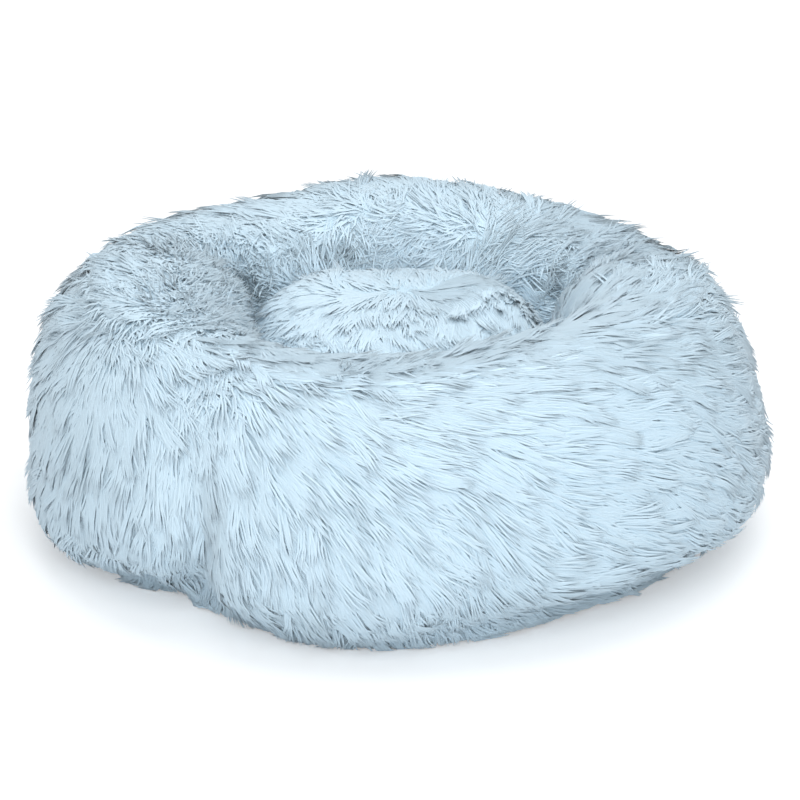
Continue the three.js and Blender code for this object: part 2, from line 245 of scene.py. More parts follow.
# %% [markdown]
# Stuffing fills a cover out, and its sewing holds it back, so the ring's outline isn't round: a
# cross seam draws in a deep fold at the front left, and the hem is puckered where the base is
# sewn on. A cloth simulation would make such folds somewhere. These have to lie where the
# photograph shows them, so each is a smooth hollow at a chosen place, or a swelling where its
# depth is below zero.

# %% Gathers
GATHERS = (
    # azimuth, reach to its left and right in degrees, level, reach in height and depth in mm
    (239, 4, 4, 82, 30, 13),
    (236, 3.5, 3.5, 48, 24, 17),
    (231, 3.5, 3.5, 20, 18, 15),
    (222, 18, 3, 2, 26, 38),
    (230, 8, 20, 2, 28, 34),
    (283, 16, 12, 2, 26, 14),
    (304, 20, 20, 2, 30, 38),
    (329, 7, 7, 2, 26, 14),
    (185, 30, 30, 60, 50, 3),
    (15, 22, 22, 120, 40, 9),
    (205, 26, 9, 16, 26, -15),
    (322, 20, 20, 14, 22, 9),
)
INNER_GATHERS = (
    # The same, on the side of the ring that faces the cushion
    (151, 11, 7, 144, 16, 30),
    (173, 11, 26, 138, 28, -18),
    (24, 7, 7, 144, 12, 14),
    (4, 16, 9, 138, 28, -14),
    (222, 5, 5, 148, 9, 12),
    (203, 30, 22, 140, 30, -12),
)
HEM_DIPS = (
    # azimuth, reach to its left and right in degrees, depth in mm
    (221, 7, 3.2, 23),
    (230, 7, 18, 17),
    (283, 15, 12, 8),
    (304, 13, 22, 17),
    (329, 7, 7, 5),
)


def off_middle(azimuth, middle):
    """Degrees from a middle to an azimuth, the short way round."""
    return (azimuth - middle + 180) % 360 - 180


def gathered(gathers, azimuth, level):
    """How far the sewing draws the cover in at one azimuth in degrees and level in metres."""
    total = 0
    for middle, left, right, height, tall, depth in gathers:
        off = off_middle(azimuth, middle)
        across = off / (left if off < 0 else right)
        up = (level / MM - height) / tall
        total += depth * MM * math.exp(-across * across - up * up)
    return total


def hem_reach(azimuth):
    """Distance of the base's edge from the axis, at an azimuth in degrees."""
    total = base_radius
    for middle, left, right, depth in HEM_DIPS:
        off = off_middle(azimuth, middle)
        across = off / (left if off < 0 else right)
        total -= depth * MM * math.exp(-across * across)
    return total


print("gathers", len(GATHERS) + len(INNER_GATHERS), "and dips in the hem", len(HEM_DIPS))

# %% Feeling along a section
FIRST_SEAM = math.radians(236)
SKIN_ROUNDS = 12
OWN_SHARE = 0.5
NEIGHBOUR_SHARE = 0.125


def turn_azimuth(turn, turns):
    """Azimuth in radians of one turn of a grid, counted from the first cross seam."""
    return FIRST_SEAM + TAU * (turn + 0.5) / turns


def outward_at(azimuth):
    """Level direction away from the bed's axis."""
    return Vector((math.cos(azimuth), math.sin(azimuth), 0))


def smoothed(grid, rounds):
    """Averages each point of a closed grid with its neighbours."""
    for _ in range(rounds):
        around = np.roll(grid, 1, axis=0) + np.roll(grid, -1, axis=0)
        along = np.concatenate([grid[:, :1], grid[:, :-1]], axis=1)
        along = along + np.concatenate([grid[:, 1:], grid[:, -1:]], axis=1)
        middle = grid * OWN_SHARE + around * NEIGHBOUR_SHARE + along * NEIGHBOUR_SHARE
        middle[:, 0] = grid[:, 0]
        middle[:, -1] = grid[:, -1]
        grid = middle
    return grid


def felt_grid(tree, turns, steps, radius, level, angles, depth):
    """Grid of points felt from the middle of a section, between two angles above the level."""
    grid = np.zeros((turns, steps + 1, 3))
    low, high = angles
    for i in range(turns):
        outward = outward_at(turn_azimuth(i, turns))
        centre = outward * radius + Vector((0, 0, level))
        for j in range(steps + 1):
            angle = low + (high - low) * j / steps
            direction = outward * math.cos(angle) + Vector((0, 0, math.sin(angle)))
            grid[i, j] = feel(tree, centre, direction, depth)
    return smoothed(grid, SKIN_ROUNDS)


# %% [markdown]
# The ring's skin is felt first and then bent three times: its crest at the back is lowered, its
# gathers are drawn in, and its outer foot is led to the seam round the base.

# %% Ring skin
RING_TURNS = 256
RING_STEPS = 92
INNER_STEP = 74
PILE_DEPTH = 5.2 * MM
FOOT_REACH = 50 * MM
# The crest at the back sits lower than the CAD's, because long pile stands up from it
CREST_DROP = 4.5 * MM
CREST_DROP_LEVEL = 125 * MM
# Gathers fade in level near the hem, which stays on the floor and outside the base's edge
HEM_LEVEL = 8 * MM
HEM_RISE = 30 * MM
HEM_MARGIN = 2.5 * MM
HEM_STEPS = 7


def felt_ring():
    """Skin points by turn round the bed and step over the section, outer foot to inner foot."""
    low_angle = math.atan2(foot_level - BELLY_LEVEL, FOOT_REACH)
    grid = felt_grid(ring_tree, RING_TURNS, RING_STEPS, CREST_RADIUS, BELLY_LEVEL,
                     (low_angle, math.pi - low_angle), PILE_DEPTH)
    backness = np.clip(grid[:, :, 1] / CREST_RADIUS, 0, 1)
    height = np.clip((grid[:, :, 2] - CREST_DROP_LEVEL) / (ring_top - CREST_DROP_LEVEL), 0, 1)
    grid[:, :, 2] -= CREST_DROP * np.sqrt(backness) * height
    return grid


def gather_ring(grid):
    """Draws the ring's skin in at its gathers, but never inside the base's edge."""
    for i in range(RING_TURNS):
        azimuth = turn_azimuth(i, RING_TURNS)
        middle = (CREST_RADIUS * math.cos(azimuth), CREST_RADIUS * math.sin(azimuth), BELLY_LEVEL)
        reach = hem_reach(math.degrees(azimuth)) + HEM_MARGIN
        for j in range(INNER_STEP):
            outer = j < RING_STEPS // 2
            inward = np.array(middle) - grid[i, j]
            drawn = gathered(GATHERS if outer else INNER_GATHERS, math.degrees(azimuth), grid[i, j, 2])
            step = inward * (drawn / np.linalg.norm(inward))
            step[2] *= min(1, max(0, (grid[i, j, 2] - HEM_LEVEL) / HEM_RISE))
            grid[i, j] += step
            radius = math.hypot(grid[i, j, 0], grid[i, j, 1])
            if outer and radius < reach:
                grid[i, j, :2] *= reach / radius
    return smoothed(grid, 1)


def hem_ring(grid):
    """Leads the ring's outer foot to the seam round the base."""
    for i in range(RING_TURNS):
        azimuth = turn_azimuth(i, RING_TURNS)
        reach = hem_reach(math.degrees(azimuth)) + HEM_MARGIN
        hem = np.array((reach * math.cos(azimuth), reach * math.sin(azimuth), foot_level))
        for j in range(HEM_STEPS):
            grid[i, j] += (hem - grid[i, j]) * (1 - j / HEM_STEPS)
    return grid


ring_points = hem_ring(gather_ring(felt_ring()))
print("ring skin", ring_points.shape, "from", ring_points.min((0, 1)), "to", ring_points.max((0, 1)))

# %% [markdown]
# The cushion's skin runs from its foot to the middle of its crown. Two soft shoulders at the
# back and two dips in its rim keep it from looking like a turned dome.

# %% Cushion skin
CUSHION_TURNS = 128
CUSHION_STEPS = 48
CUSHION_PILE_DEPTH = 3.4 * MM
CUSHION_ANGLES = (math.radians(-42), math.radians(89.5))
CUSHION_GATHERS = (
    # azimuth and reach in degrees, depth in mm
    (178, 22, 12),
    (5, 18, 10),
)
CUSHION_RIM_STEP = 20
CUSHION_RIM_REACH = 7
# Two shoulders swell the crown on either side of its back edge
SHOULDER_RADIUS = 66 * MM
SHOULDER_REACH = 24 * MM
SHOULDER_LIFT = 10 * MM
SHOULDER_SPAN = 34
SHOULDER_START = -30 * MM
SHOULDER_BLEND = 50 * MM
cushion_tree = node_tree(("cushion_cover",))
cushion_level = 0.5 * (nest_low.z + nest_high.z)


def lift_shoulders(grid):
    """Raises the crown beside its back edge."""
    radius = np.hypot(grid[:, :, 0], grid[:, :, 1])
    upper = grid[:, :, 2] > cushion_level
    from_back = np.degrees(np.arctan2(grid[:, :, 0], grid[:, :, 1]))
    beside = 1 - np.exp(-(from_back / SHOULDER_SPAN) ** 2)
    behind = np.clip((grid[:, :, 1] - SHOULDER_START) / SHOULDER_BLEND, 0, 1)
    shoulder = np.exp(-((radius - SHOULDER_RADIUS) / SHOULDER_REACH) ** 2) * beside * behind
    grid[:, :, 2] += SHOULDER_LIFT * shoulder * upper
    return grid


def gather_cushion(grid):
    """Lowers the cushion's rim at its gathers."""
    for i in range(CUSHION_TURNS):
        azimuth = math.degrees(turn_azimuth(i, CUSHION_TURNS))
        for middle, reach, depth in CUSHION_GATHERS:
            off = off_middle(azimuth, middle) / reach
            for j in range(CUSHION_STEPS + 1):
                rim = (j - CUSHION_RIM_STEP) / CUSHION_RIM_REACH
                grid[i, j, 2] -= depth * MM * math.exp(-off * off - rim * rim)
    return smoothed(grid, 2)


felt_cushion = felt_grid(cushion_tree, CUSHION_TURNS, CUSHION_STEPS, 0, cushion_level,
                         CUSHION_ANGLES, CUSHION_PILE_DEPTH)
cushion_points = gather_cushion(lift_shoulders(felt_cushion))
print("cushion skin from", cushion_points.min((0, 1)), "to", cushion_points.max((0, 1)))


# %% Skin meshes
def grid_faces(turns, steps):
    """Quads of a grid that closes round the bed."""
    size = steps + 1
    faces = []
    for i in range(turns):
        k = (i + 1) % turns
        for j in range(steps):
            faces.append((i * size + j, k * size + j, k * size + j + 1, i * size + j + 1))
    return faces


def skin_mesh(name, grid, capped):
    """Open skin from a grid, with a fan over the pole where it has one."""
    turns, size, _ = grid.shape
    points = grid.reshape(-1, 3)
    faces = grid_faces(turns, size - 1)
    if capped:
        points = np.concatenate([points, grid[:, -1].mean(0)[None]])
        top = len(points) - 1
        for i in range(turns):
            faces.append((i * size + size - 1, ((i + 1) % turns) * size + size - 1, top))
    mesh = bpy.data.meshes.new(name)
    mesh.from_pydata(points.tolist(), [], faces)
    mesh.update()
    return mesh


def mesh_arrays(mesh):
    """Vertex positions and normals as arrays."""
    count = len(mesh.vertices)
    places = np.zeros(count * 3)
    mesh.vertices.foreach_get("co", places)
    normals = np.zeros(count * 3)
    mesh.vertex_normals.foreach_get("vector", normals)
    return places.reshape(-1, 3), normals.reshape(-1, 3)


ring_skin = skin_mesh("ring_skin", ring_points, False)
cushion_skin = skin_mesh("cushion_skin", cushion_points, True)
print("skins", len(ring_skin.vertices), len(cushion_skin.vertices))

# %% [markdown]
# ## Combing
# Long pile shows how it was last stroked. The strokes below follow the locks in the photograph,
# each from root to tip in its pixels. A ray from the camera carries each point onto the skin,
# so the comb belongs to the bed and stays right from every side. Where the photograph shows
# nothing, the pile falls away from the crest with slow sideways sweeps.

# %% Strokes
LEFT_STROKES = [
    [(180, 230), (140, 236), (105, 252), (75, 268), (50, 290)],
    [(110, 290), (75, 296), (45, 315)],
    [(112, 312), (75, 322), (42, 345)],
    [(115, 325), (85, 345), (50, 375), (33, 405)],
    [(118, 332), (98, 365), (70, 400), (45, 445), (30, 485)],
    [(120, 335), (112, 375), (95, 420), (75, 470), (62, 515)],
    [(124, 335), (125, 380), (120, 430), (110, 490), (106, 550), (108, 585)],
    [(130, 332), (142, 370), (150, 420), (150, 480), (150, 540), (153, 590)],
    [(145, 345), (165, 380), (175, 425), (172, 480), (174, 540), (180, 585)],
    [(150, 335), (180, 345), (205, 370), (212, 410), (208, 440)],
    [(186, 465), (190, 510), (200, 550), (210, 590), (222, 615)],
]
FRONT_STROKES = [
    [(215, 445), (232, 480), (236, 530), (246, 580), (258, 620)],
    [(240, 400), (262, 440), (272, 490), (282, 540), (300, 590), (318, 635)],
    [(265, 400), (290, 440), (312, 480), (335, 525), (356, 575), (378, 625)],
    [(285, 395), (305, 430), (325, 462), (355, 490), (395, 510), (425, 540), (445, 590), (462, 630)],
    [(300, 388), (345, 400), (400, 412), (450, 408), (500, 412)],
    [(305, 412), (350, 428), (400, 440), (450, 450), (510, 456)],
    [(325, 450), (375, 465), (420, 475), (445, 490), (462, 520), (478, 560), (495, 605)],
    [(270, 370), (320, 375), (370, 372), (420, 366), (470, 362)],
    [(400, 500), (425, 530), (440, 575), (455, 620), (468, 640)],
    [(225, 340), (255, 352), (285, 372), (320, 392)],
]
RIGHT_STROKES = [
    [(500, 412), (560, 410), (620, 412), (690, 412), (745, 425)],
    [(510, 456), (570, 468), (630, 478), (690, 495), (725, 520)],
    [(470, 362), (540, 364), (610, 362), (680, 372), (740, 385)],
    [(440, 345), (500, 342), (560, 335), (620, 326), (660, 315), (690, 308), (725, 318)],
    [(480, 478), (505, 505), (540, 530), (600, 548), (660, 552), (710, 550)],
    [(500, 480), (540, 500), (600, 515), (660, 528), (705, 545)],
    [(505, 555), (550, 562), (600, 566), (650, 570)],
    [(505, 575), (530, 577), (560, 567), (600, 577), (640, 582)],
    [(508, 600), (545, 608), (590, 606), (620, 596)],
    [(590, 308), (612, 290), (622, 270)],
    [(640, 305), (662, 288), (682, 268)],
]
BACK_STROKES = [
    [(320, 228), (270, 222), (210, 226), (160, 232), (130, 240)],
    [(330, 210), (300, 200), (275, 195)],
    [(370, 205), (345, 195), (320, 185)],
    [(415, 205), (395, 190), (380, 175)],
    [(450, 215), (440, 195), (435, 178)],
    [(480, 222), (470, 205), (462, 185)],
    [(495, 225), (490, 205), (487, 188)],
    [(505, 225), (515, 208), (525, 198)],
    [(540, 218), (560, 212), (575, 205)],
    [(520, 230), (570, 231), (600, 243), (640, 262)],
    [(460, 252), (520, 249), (580, 250), (630, 258), (670, 268)],
    [(525, 272), (560, 272), (595, 268)],
    [(470, 228), (440, 240), (415, 262)],
    [(455, 222), (450, 250), (435, 270)],
    [(335, 215), (350, 235), (375, 250), (395, 262)],
]
CUSHION_STROKES = [
    [(385, 290), (362, 305), (347, 335)],
    [(362, 300), (354, 325), (350, 345)],
    [(395, 300), (392, 325), (390, 345)],
    [(400, 293), (425, 310), (445, 328)],
    [(455, 290), (470, 308), (484, 328)],
    [(490, 288), (491, 310), (488, 330)],
    [(513, 284), (509, 308), (500, 328)],
    [(330, 295), (316, 322), (308, 348)],
    [(302, 290), (280, 300), (264, 312)],
    [(348, 287), (346, 278), (343, 270)],
    [(385, 285), (384, 277), (383, 269)],
    [(425, 285), (426, 277), (428, 269)],
    [(465, 282), (467, 275), (470, 268)],
    [(318, 292), (313, 284), (307, 277)],
    [(285, 300), (276, 312), (272, 322)],
]
STROKES = LEFT_STROKES + FRONT_STROKES + RIGHT_STROKES + BACK_STROKES + CUSHION_STROKES
print("strokes", len(STROKES))

# %% Strokes onto the skin
STEEPEST_VIEW = 0.22


def pixel_ray(x, y):
    """Direction from the camera through a pixel of the photograph."""
    across = camera_right * (x - AXIS_PIXEL[0])
    up = camera_up * (y - AXIS_PIXEL[1])
    return (across - up - camera_back * FOCAL_PIXELS).normalized()


def skin_tree(mesh):
    """Search tree over a skin."""
    places = [vertex.co for vertex in mesh.vertices]
    return BVHTree.FromPolygons(places, [polygon.vertices[:] for polygon in mesh.polygons])


skin_trees = {"ring": skin_tree(ring_skin), "cushion": skin_tree(cushion_skin)}


def look(x, y):
    """Nearest skin behind a pixel: its name, place and normal."""
    ray = pixel_ray(x, y)
    found = None
    for name, tree in skin_trees.items():
        place, normal, _, distance = tree.ray_cast(camera.location, ray)
        if place is not None and (found is None or distance < found[3]):
            found = (name, place, normal, distance)
    return found and found[:3]


def laid_flat(step, normal, ray):
    """Direction along the skin that looks like an image step from the camera."""
    wanted = camera_right * step[0] - camera_up * step[1]
    facing = min(-STEEPEST_VIEW, ray.dot(normal))
    return (wanted - ray * (wanted.dot(normal) / facing)).normalized()


def comb_marks(strokes):
    """Skin name, place and direction for points along the strokes."""
    marks = []
    for stroke in strokes:
        for (x0, y0), (x1, y1) in zip(stroke, stroke[1:]):
            step = (x1 - x0, y1 - y0)
            for share in (0.0, 0.5, 1.0):
                x = x0 + step[0] * share
                y = y0 + step[1] * share
                hit = look(x, y)
                if hit:
                    name, place, normal = hit
                    marks.append((name, place, laid_flat(step, normal, pixel_ray(x, y))))
    return marks


marks = comb_marks(STROKES)
print("comb marks", len(marks), "on the cushion", sum(mark[0] == "cushion" for mark in marks))

# %% [markdown]
# The photograph's pile isn't even: it is tousled and short inside the nest, stands up in tufts
# along the outline, and lies calm on the front. In a few deep hollows painted shade darkens the
# pile's colour for the shadow there. Each is one row below, carried onto the skin from its pixel.

# %% Patches and painted shade in the hollows
PATCHES = [
    # pixel, radius in pixels, length share, wildness, how far the tips stand
    ((215, 262), 42, 0.42, 1.1, 1.2),
    ((250, 272), 26, 0.42, 1.15, 1.5),
    ((165, 292), 40, 0.42, 1.1, 1.2),
    ((300, 258), 30, 0.55, 0.9, 1.2),
    ((205, 385), 26, 0.6, 0.6, 1.0),
    ((128, 322), 16, 0.6, 0.7, 1.0),
    ((430, 250), 26, 0.8, 0.6, 1.2),
    ((500, 238), 24, 0.7, 0.6, 1.2),
    ((560, 290), 22, 0.5, 0.8, 1.2),
    ((400, 195), 60, 0.75, 0.35, 0.9),
    ((300, 200), 40, 0.8, 0.3, 0.7),
    ((520, 205), 40, 0.8, 0.35, 0.7),
    ((112, 564), 16, 0.4, 0.0, 0.4),
    ((215, 320), 26, 0.45, 0.9, 1.2),
    ((235, 300), 34, 0.42, 1.0, 1.2),
    ((180, 255), 30, 0.42, 1.0, 1.2),
    ((640, 285), 26, 0.55, 0.75, 1.0),
    ((300, 285), 24, 0.6, 0.5, 1.2),
    ((290, 330), 26, 0.6, 0.6, 1.0),
    ((365, 238), 34, 0.75, 0.8, 1.2),
    ((470, 240), 40, 0.75, 0.7, 1.2),
    ((545, 245), 30, 0.75, 0.5, 1.2),
    ((612, 245), 26, 0.55, 0.85, 1.2),
    ((665, 262), 26, 0.55, 0.85, 1.4),
    ((715, 300), 24, 0.55, 0.7, 1.3),
    ((150, 588), 30, 0.5, 0.2, 1.0),
    ((600, 600), 36, 0.5, 0.2, 1.0),
    ((585, 275), 24, 0.55, 0.5, 1.0),
    ((58, 420), 40, 1.0, 0.0, 0.6),
    ((75, 500), 34, 1.0, 0.0, 0.6),
    ((440, 425), 38, 1.0, 0.0, 0.5),
    ((530, 430), 50, 1.0, 0.0, 0.5),
    ((620, 435), 46, 1.0, 0.0, 0.5),
    ((600, 500), 44, 1.0, 0.0, 0.5),
    ((690, 440), 40, 1.0, 0.0, 0.5),
    ((300, 352), 16, 0.65, 0.55, 1.5),
    ((345, 364), 18, 0.65, 0.6, 1.6),
    ((395, 368), 18, 0.7, 0.6, 1.6),
    ((445, 362), 18, 0.75, 0.5, 1.5),
    ((496, 350), 16, 0.8, 0.35, 1.3),
    ((590, 212), 13, 0.8, 0.7, 2.2),
    ((612, 222), 12, 0.9, 0.5, 2.6),
    ((648, 238), 13, 0.9, 0.5, 2.8),
    ((668, 250), 12, 0.9, 0.5, 2.8),
    ((690, 268), 12, 0.8, 0.5, 2.2),
    ((708, 284), 12, 0.9, 0.5, 2.4),
    ((728, 306), 12, 0.9, 0.4, 2.0),
    ((745, 350), 16, 0.9, 0.3, 1.6),
    ((758, 400), 16, 0.9, 0.3, 1.6),
    ((555, 196), 16, 0.75, 0.5, 1.8),
    ((500, 186), 16, 0.75, 0.5, 1.9),
    ((440, 182), 16, 0.75, 0.5, 1.9),
    ((375, 182), 16, 0.75, 0.5, 2.0),
    ((310, 190), 16, 0.8, 0.4, 1.7),
    ((250, 206), 16, 0.8, 0.4, 1.5),
    ((190, 228), 16, 0.85, 0.3, 1.5),
    ((130, 254), 16, 0.85, 0.3, 1.5),
    ((85, 292), 16, 0.9, 0.3, 1.6),
    ((55, 338), 16, 0.9, 0.3, 1.7),
    ((42, 384), 16, 0.95, 0.25, 1.5),
]
PAINTED_HOLLOW_SHADES = [
    # pixel, radius in pixels and depth of the painted shade that darkens the pile in a deep hollow
    ((254, 287), 20, 1.0),
    ((268, 292), 15, 1.0),
    ((238, 283), 14, 0.95),
    ((218, 284), 13, 0.85),
    ((200, 285), 11, 0.65),
    ((245, 266), 9, 0.5),
    ((538, 288), 14, 1.0),
    ((556, 292), 9, 0.2),
    ((287, 349), 8, 0.8),
    ((300, 256), 15, 0.55),
    ((330, 262), 20, 1.0),
    ((380, 262), 15, 0.5),
    ((420, 264), 17, 0.65),
    ((480, 262), 19, 0.7),
]
print("patches", len(PATCHES), "and pockets", len(PAINTED_HOLLOW_SHADES))

# %% [markdown]
# The comb at a point of the skin is the average of the strokes near it. Where they disagree the
# average is short, and that tells where the pile parts and gets wilder. Untouched pile has its
# own way to lie, with a small weight, so it rules only where no stroke is near.

# %% The comb on a skin
COMB_BLUR = 17 * MM
# Untouched pile: its weight beside the strokes, its spread on the cushion, and on the ring the
# width of its parting on the crest and its sideways sweeps
FALL_WEIGHT = 0.02
CUSHION_SPREAD = (4, 1.5, 0)
CREST_BLEND = 20 * MM
SWEEPS = (
    # size, waves round the bed and phase
    (0.75, 2, 1.1),
    (0.45, 5, -0.6),
)


def fall(places, normals, name):
    """Way that untouched pile lies: down from the ring's crest, and forwards on the cushion."""
    if name == "cushion":
        down = np.array([0, -1.0, 0]) + places * np.array(CUSHION_SPREAD) / bed_radius
        return down - normals * (down * normals).sum(1, keepdims=True)
    radius = np.maximum(np.hypot(places[:, 0], places[:, 1]), 1e-6)
    azimuth = np.arctan2(places[:, 1], places[:, 0])
    outward = np.stack([places[:, 0] / radius, places[:, 1] / radius, np.zeros(len(radius))], 1)
    around = np.stack([-outward[:, 1], outward[:, 0], np.zeros(len(radius))], 1)
    side = np.clip((radius - CREST_RADIUS) / CREST_BLEND, -1, 1)[:, None]
    down = outward * side + np.array([0, 0, -1.0])
    down -= normals * (down * normals).sum(1, keepdims=True)
    sweep = sum(size * np.sin(waves * azimuth + phase) for size, waves, phase in SWEEPS)
    return down + around * sweep[:, None]


def unit(vectors):
    """Vectors at length 1."""
    return vectors / np.maximum(np.linalg.norm(vectors, axis=1, keepdims=True), 1e-9)


def nearness(places, centre, reach):
    """1 at a centre, falling smoothly to 0 past a reach."""
    gap = ((places - np.array(centre)) ** 2).sum(1)
    return np.exp(-gap / (2 * reach ** 2))


def combed(places, normals, name):
    """Comb over one skin, and how far the strokes pull the pile apart there."""
    comb = unit(fall(places, normals, name)) * FALL_WEIGHT
    weight = np.full(len(places), FALL_WEIGHT)
    for skin, place, direction in marks:
        if skin == name:
            near = nearness(places, place, COMB_BLUR)
            comb += near[:, None] * np.array(direction)
            weight += near
    parting = 1 - np.linalg.norm(comb, axis=1) / weight
    comb -= normals * (comb * normals).sum(1, keepdims=True)
    return unit(comb), parting


# %% [markdown]
# Five more values go with the comb: how long the pile is, how wild, how far its tips stand, how
# much painted shade darkens its colour, and which way the skin faces. Length, wildness and stand
# start from a simple rule for each skin, and the patches are blended over it one after another.

# %% Length, wildness and stand
PIXEL_SIZE = 0.66 * MM
# Wildness is a share from 0 to 1; it grows where neighbouring strokes pull apart
REST_WILDNESS = 0.1
PARTING_WILDNESS = 0.6
CUSHION_PARTING = 0.25
# Painted shade over all the cushion's pile, for the shade of the nest that it lies in
CUSHION_PAINTED_SHADE = 0.12
# Tousled pile inside the nest's left
TOUSLED_MIDDLE = 190
TOUSLED_SPAN = 42
TOUSLED_LEVEL = 95 * MM
TOUSLED_RISE = 25 * MM
TOUSLED_INSET = 16 * MM
TOUSLED_LENGTH = 0.42
TOUSLED_WILDNESS = 1.0
# Short standing fringe round the back of the cushion's crown
FRINGE_RADIUS = 78 * MM
FRINGE_REACH = 16 * MM
FRINGE_CUT = 0.45
FRINGE_STAND = 1.6
# Short flat pile near the floor
HEM_BAND = 24 * MM
HEM_CUT = 0.35
HEM_LIE = 0.5


def cushion_form(places, parting):
    """Length, wildness and stand of the cushion's pile."""
    radius = np.hypot(places[:, 0], places[:, 1])
    fringe = np.exp(-((radius - FRINGE_RADIUS) / FRINGE_REACH) ** 2)
    fringe *= np.clip(places[:, 1] / FRINGE_REACH, 0, 1)
    wildness = REST_WILDNESS + CUSHION_PARTING * parting
    return 1 - FRINGE_CUT * fringe, wildness, 1 + FRINGE_STAND * fringe


def ring_form(places, parting):
    """Length, wildness and stand of the ring's pile."""
    low = np.exp(-(places[:, 2] / HEM_BAND) ** 2)
    length = 1 - HEM_CUT * low
    wildness = REST_WILDNESS + PARTING_WILDNESS * parting
    radius = np.hypot(places[:, 0], places[:, 1])
    off = off_middle(np.degrees(np.arctan2(places[:, 1], places[:, 0])), TOUSLED_MIDDLE)
    high = np.clip((places[:, 2] - TOUSLED_LEVEL) / TOUSLED_RISE, 0, 1)
    tousled = np.clip((CREST_RADIUS - radius) / TOUSLED_INSET, 0, 1)
    tousled *= high * np.exp(-(off / TOUSLED_SPAN) ** 2)
    length += (TOUSLED_LENGTH - length) * tousled
    wildness += (TOUSLED_WILDNESS - wildness) * tousled
    return length, wildness, 1 - HEM_LIE * low


def painted_shade_values(places, name):
    """Painted shade on the pile's colour: in the ring's hollows, and a little over all the cushion."""
    if name == "cushion":
        return np.full(len(places), CUSHION_PAINTED_SHADE)
    shade = np.zeros(len(places))
    for pixel, radius, depth in PAINTED_HOLLOW_SHADES:
        pocket = nearness(places, look(*pixel)[1], radius * PIXEL_SIZE)
        shade = np.maximum(shade, depth * pocket)
    return shade


def store(mesh, name, kind, values):
    """Keeps an array on the mesh's vertices."""
    attribute = mesh.attributes.new(name, kind, "POINT")
    key = "vector" if kind == "FLOAT_VECTOR" else "value"
    attribute.data.foreach_set(key, np.asarray(values, np.float32).ravel())


def comb_skin(mesh, name, form):
    """Stores on one skin all that its pile is grown from."""
    places, normals = mesh_arrays(mesh)
    comb, parting = combed(places, normals, name)
    length, wildness, stand = form(places, parting)
    for pixel, radius, share, wild, rise in PATCHES:
        hit = look(*pixel)
        if hit is None:
            continue
        blend = nearness(places, hit[1], radius * PIXEL_SIZE)
        length += (share - length) * blend
        wildness += (wild - wildness) * blend
        stand += (rise - stand) * blend
    store(mesh, "comb", "FLOAT_VECTOR", comb)
    store(mesh, "out", "FLOAT_VECTOR", normals)
    store(mesh, "reach", "FLOAT", length)
    store(mesh, "wild", "FLOAT", wildness)
    store(mesh, "stand", "FLOAT", stand)
    # Painted shade that darkens the colour of the pile grown here
    store(mesh, "shade", "FLOAT", painted_shade_values(places, name))
    print(name, "skin combed, its wildness", round(float(wildness.mean()), 3), "on average")


comb_skin(ring_skin, "ring", ring_form)
comb_skin(cushion_skin, "cushion", cushion_form)

# %% [markdown]
# A real cover is cut from panels, and each panel's pile is a piece of its own here, in three
# bands of height. So every face of the ring's skin gets a zone number. No pile grows where the
# ring goes under the cushion.

# %% Zones
BANDS = ("lower", "upper", "inner")
LOW_STEP = 19
CREST_STEP = 42
PANEL_TURNS = RING_TURNS // len(PANELS)
CUSHION_GROW_STEP = 18


def zone_of(turn, step):
    """Growing zone of a ring face: panel and band, or -1 where nothing grows."""
    if step >= INNER_STEP:
        return -1
    band = 0 if step < LOW_STEP else 1 if step < CREST_STEP else 2
    return turn // PANEL_TURNS * len(BANDS) + band


def store_zones(mesh, values):
    """Keeps each face's zone number."""
    attribute = mesh.attributes.new("zone", "INT", "FACE")
    attribute.data.foreach_set("value", np.asarray(values, np.int32))


store_zones(ring_skin, [zone_of(i, j) for i in range(RING_TURNS) for j in range(RING_STEPS)])
cushion_zones = [0 if j >= CUSHION_GROW_STEP else -1
                 for i in range(CUSHION_TURNS) for j in range(CUSHION_STEPS)]
store_zones(cushion_skin, cushion_zones + [0] * CUSHION_TURNS)
areas = {}
for mesh in (ring_skin, cushion_skin):
    for polygon, zone in zip(mesh.polygons, mesh.attributes["zone"].data):
        key = (mesh.name, zone.value)
        areas[key] = areas.get(key, 0) + polygon.area
print("zone areas in square metres", {key: round(value, 4) for key, value in areas.items()})

# %% [markdown]
# ## Growing the pile
# One Geometry Nodes tree grows every strand. It scatters roots over the skin and fewer lock
# centres, and each root looks up its nearest lock. A strand is a curve of three points: its
# root, a bend and a tip that is drawn towards the lock's tip, and both bend and tip are laid
# back onto the skin, so the pile follows the ring instead of standing off it. A thin
# three-sided cone is then bent along each curve.


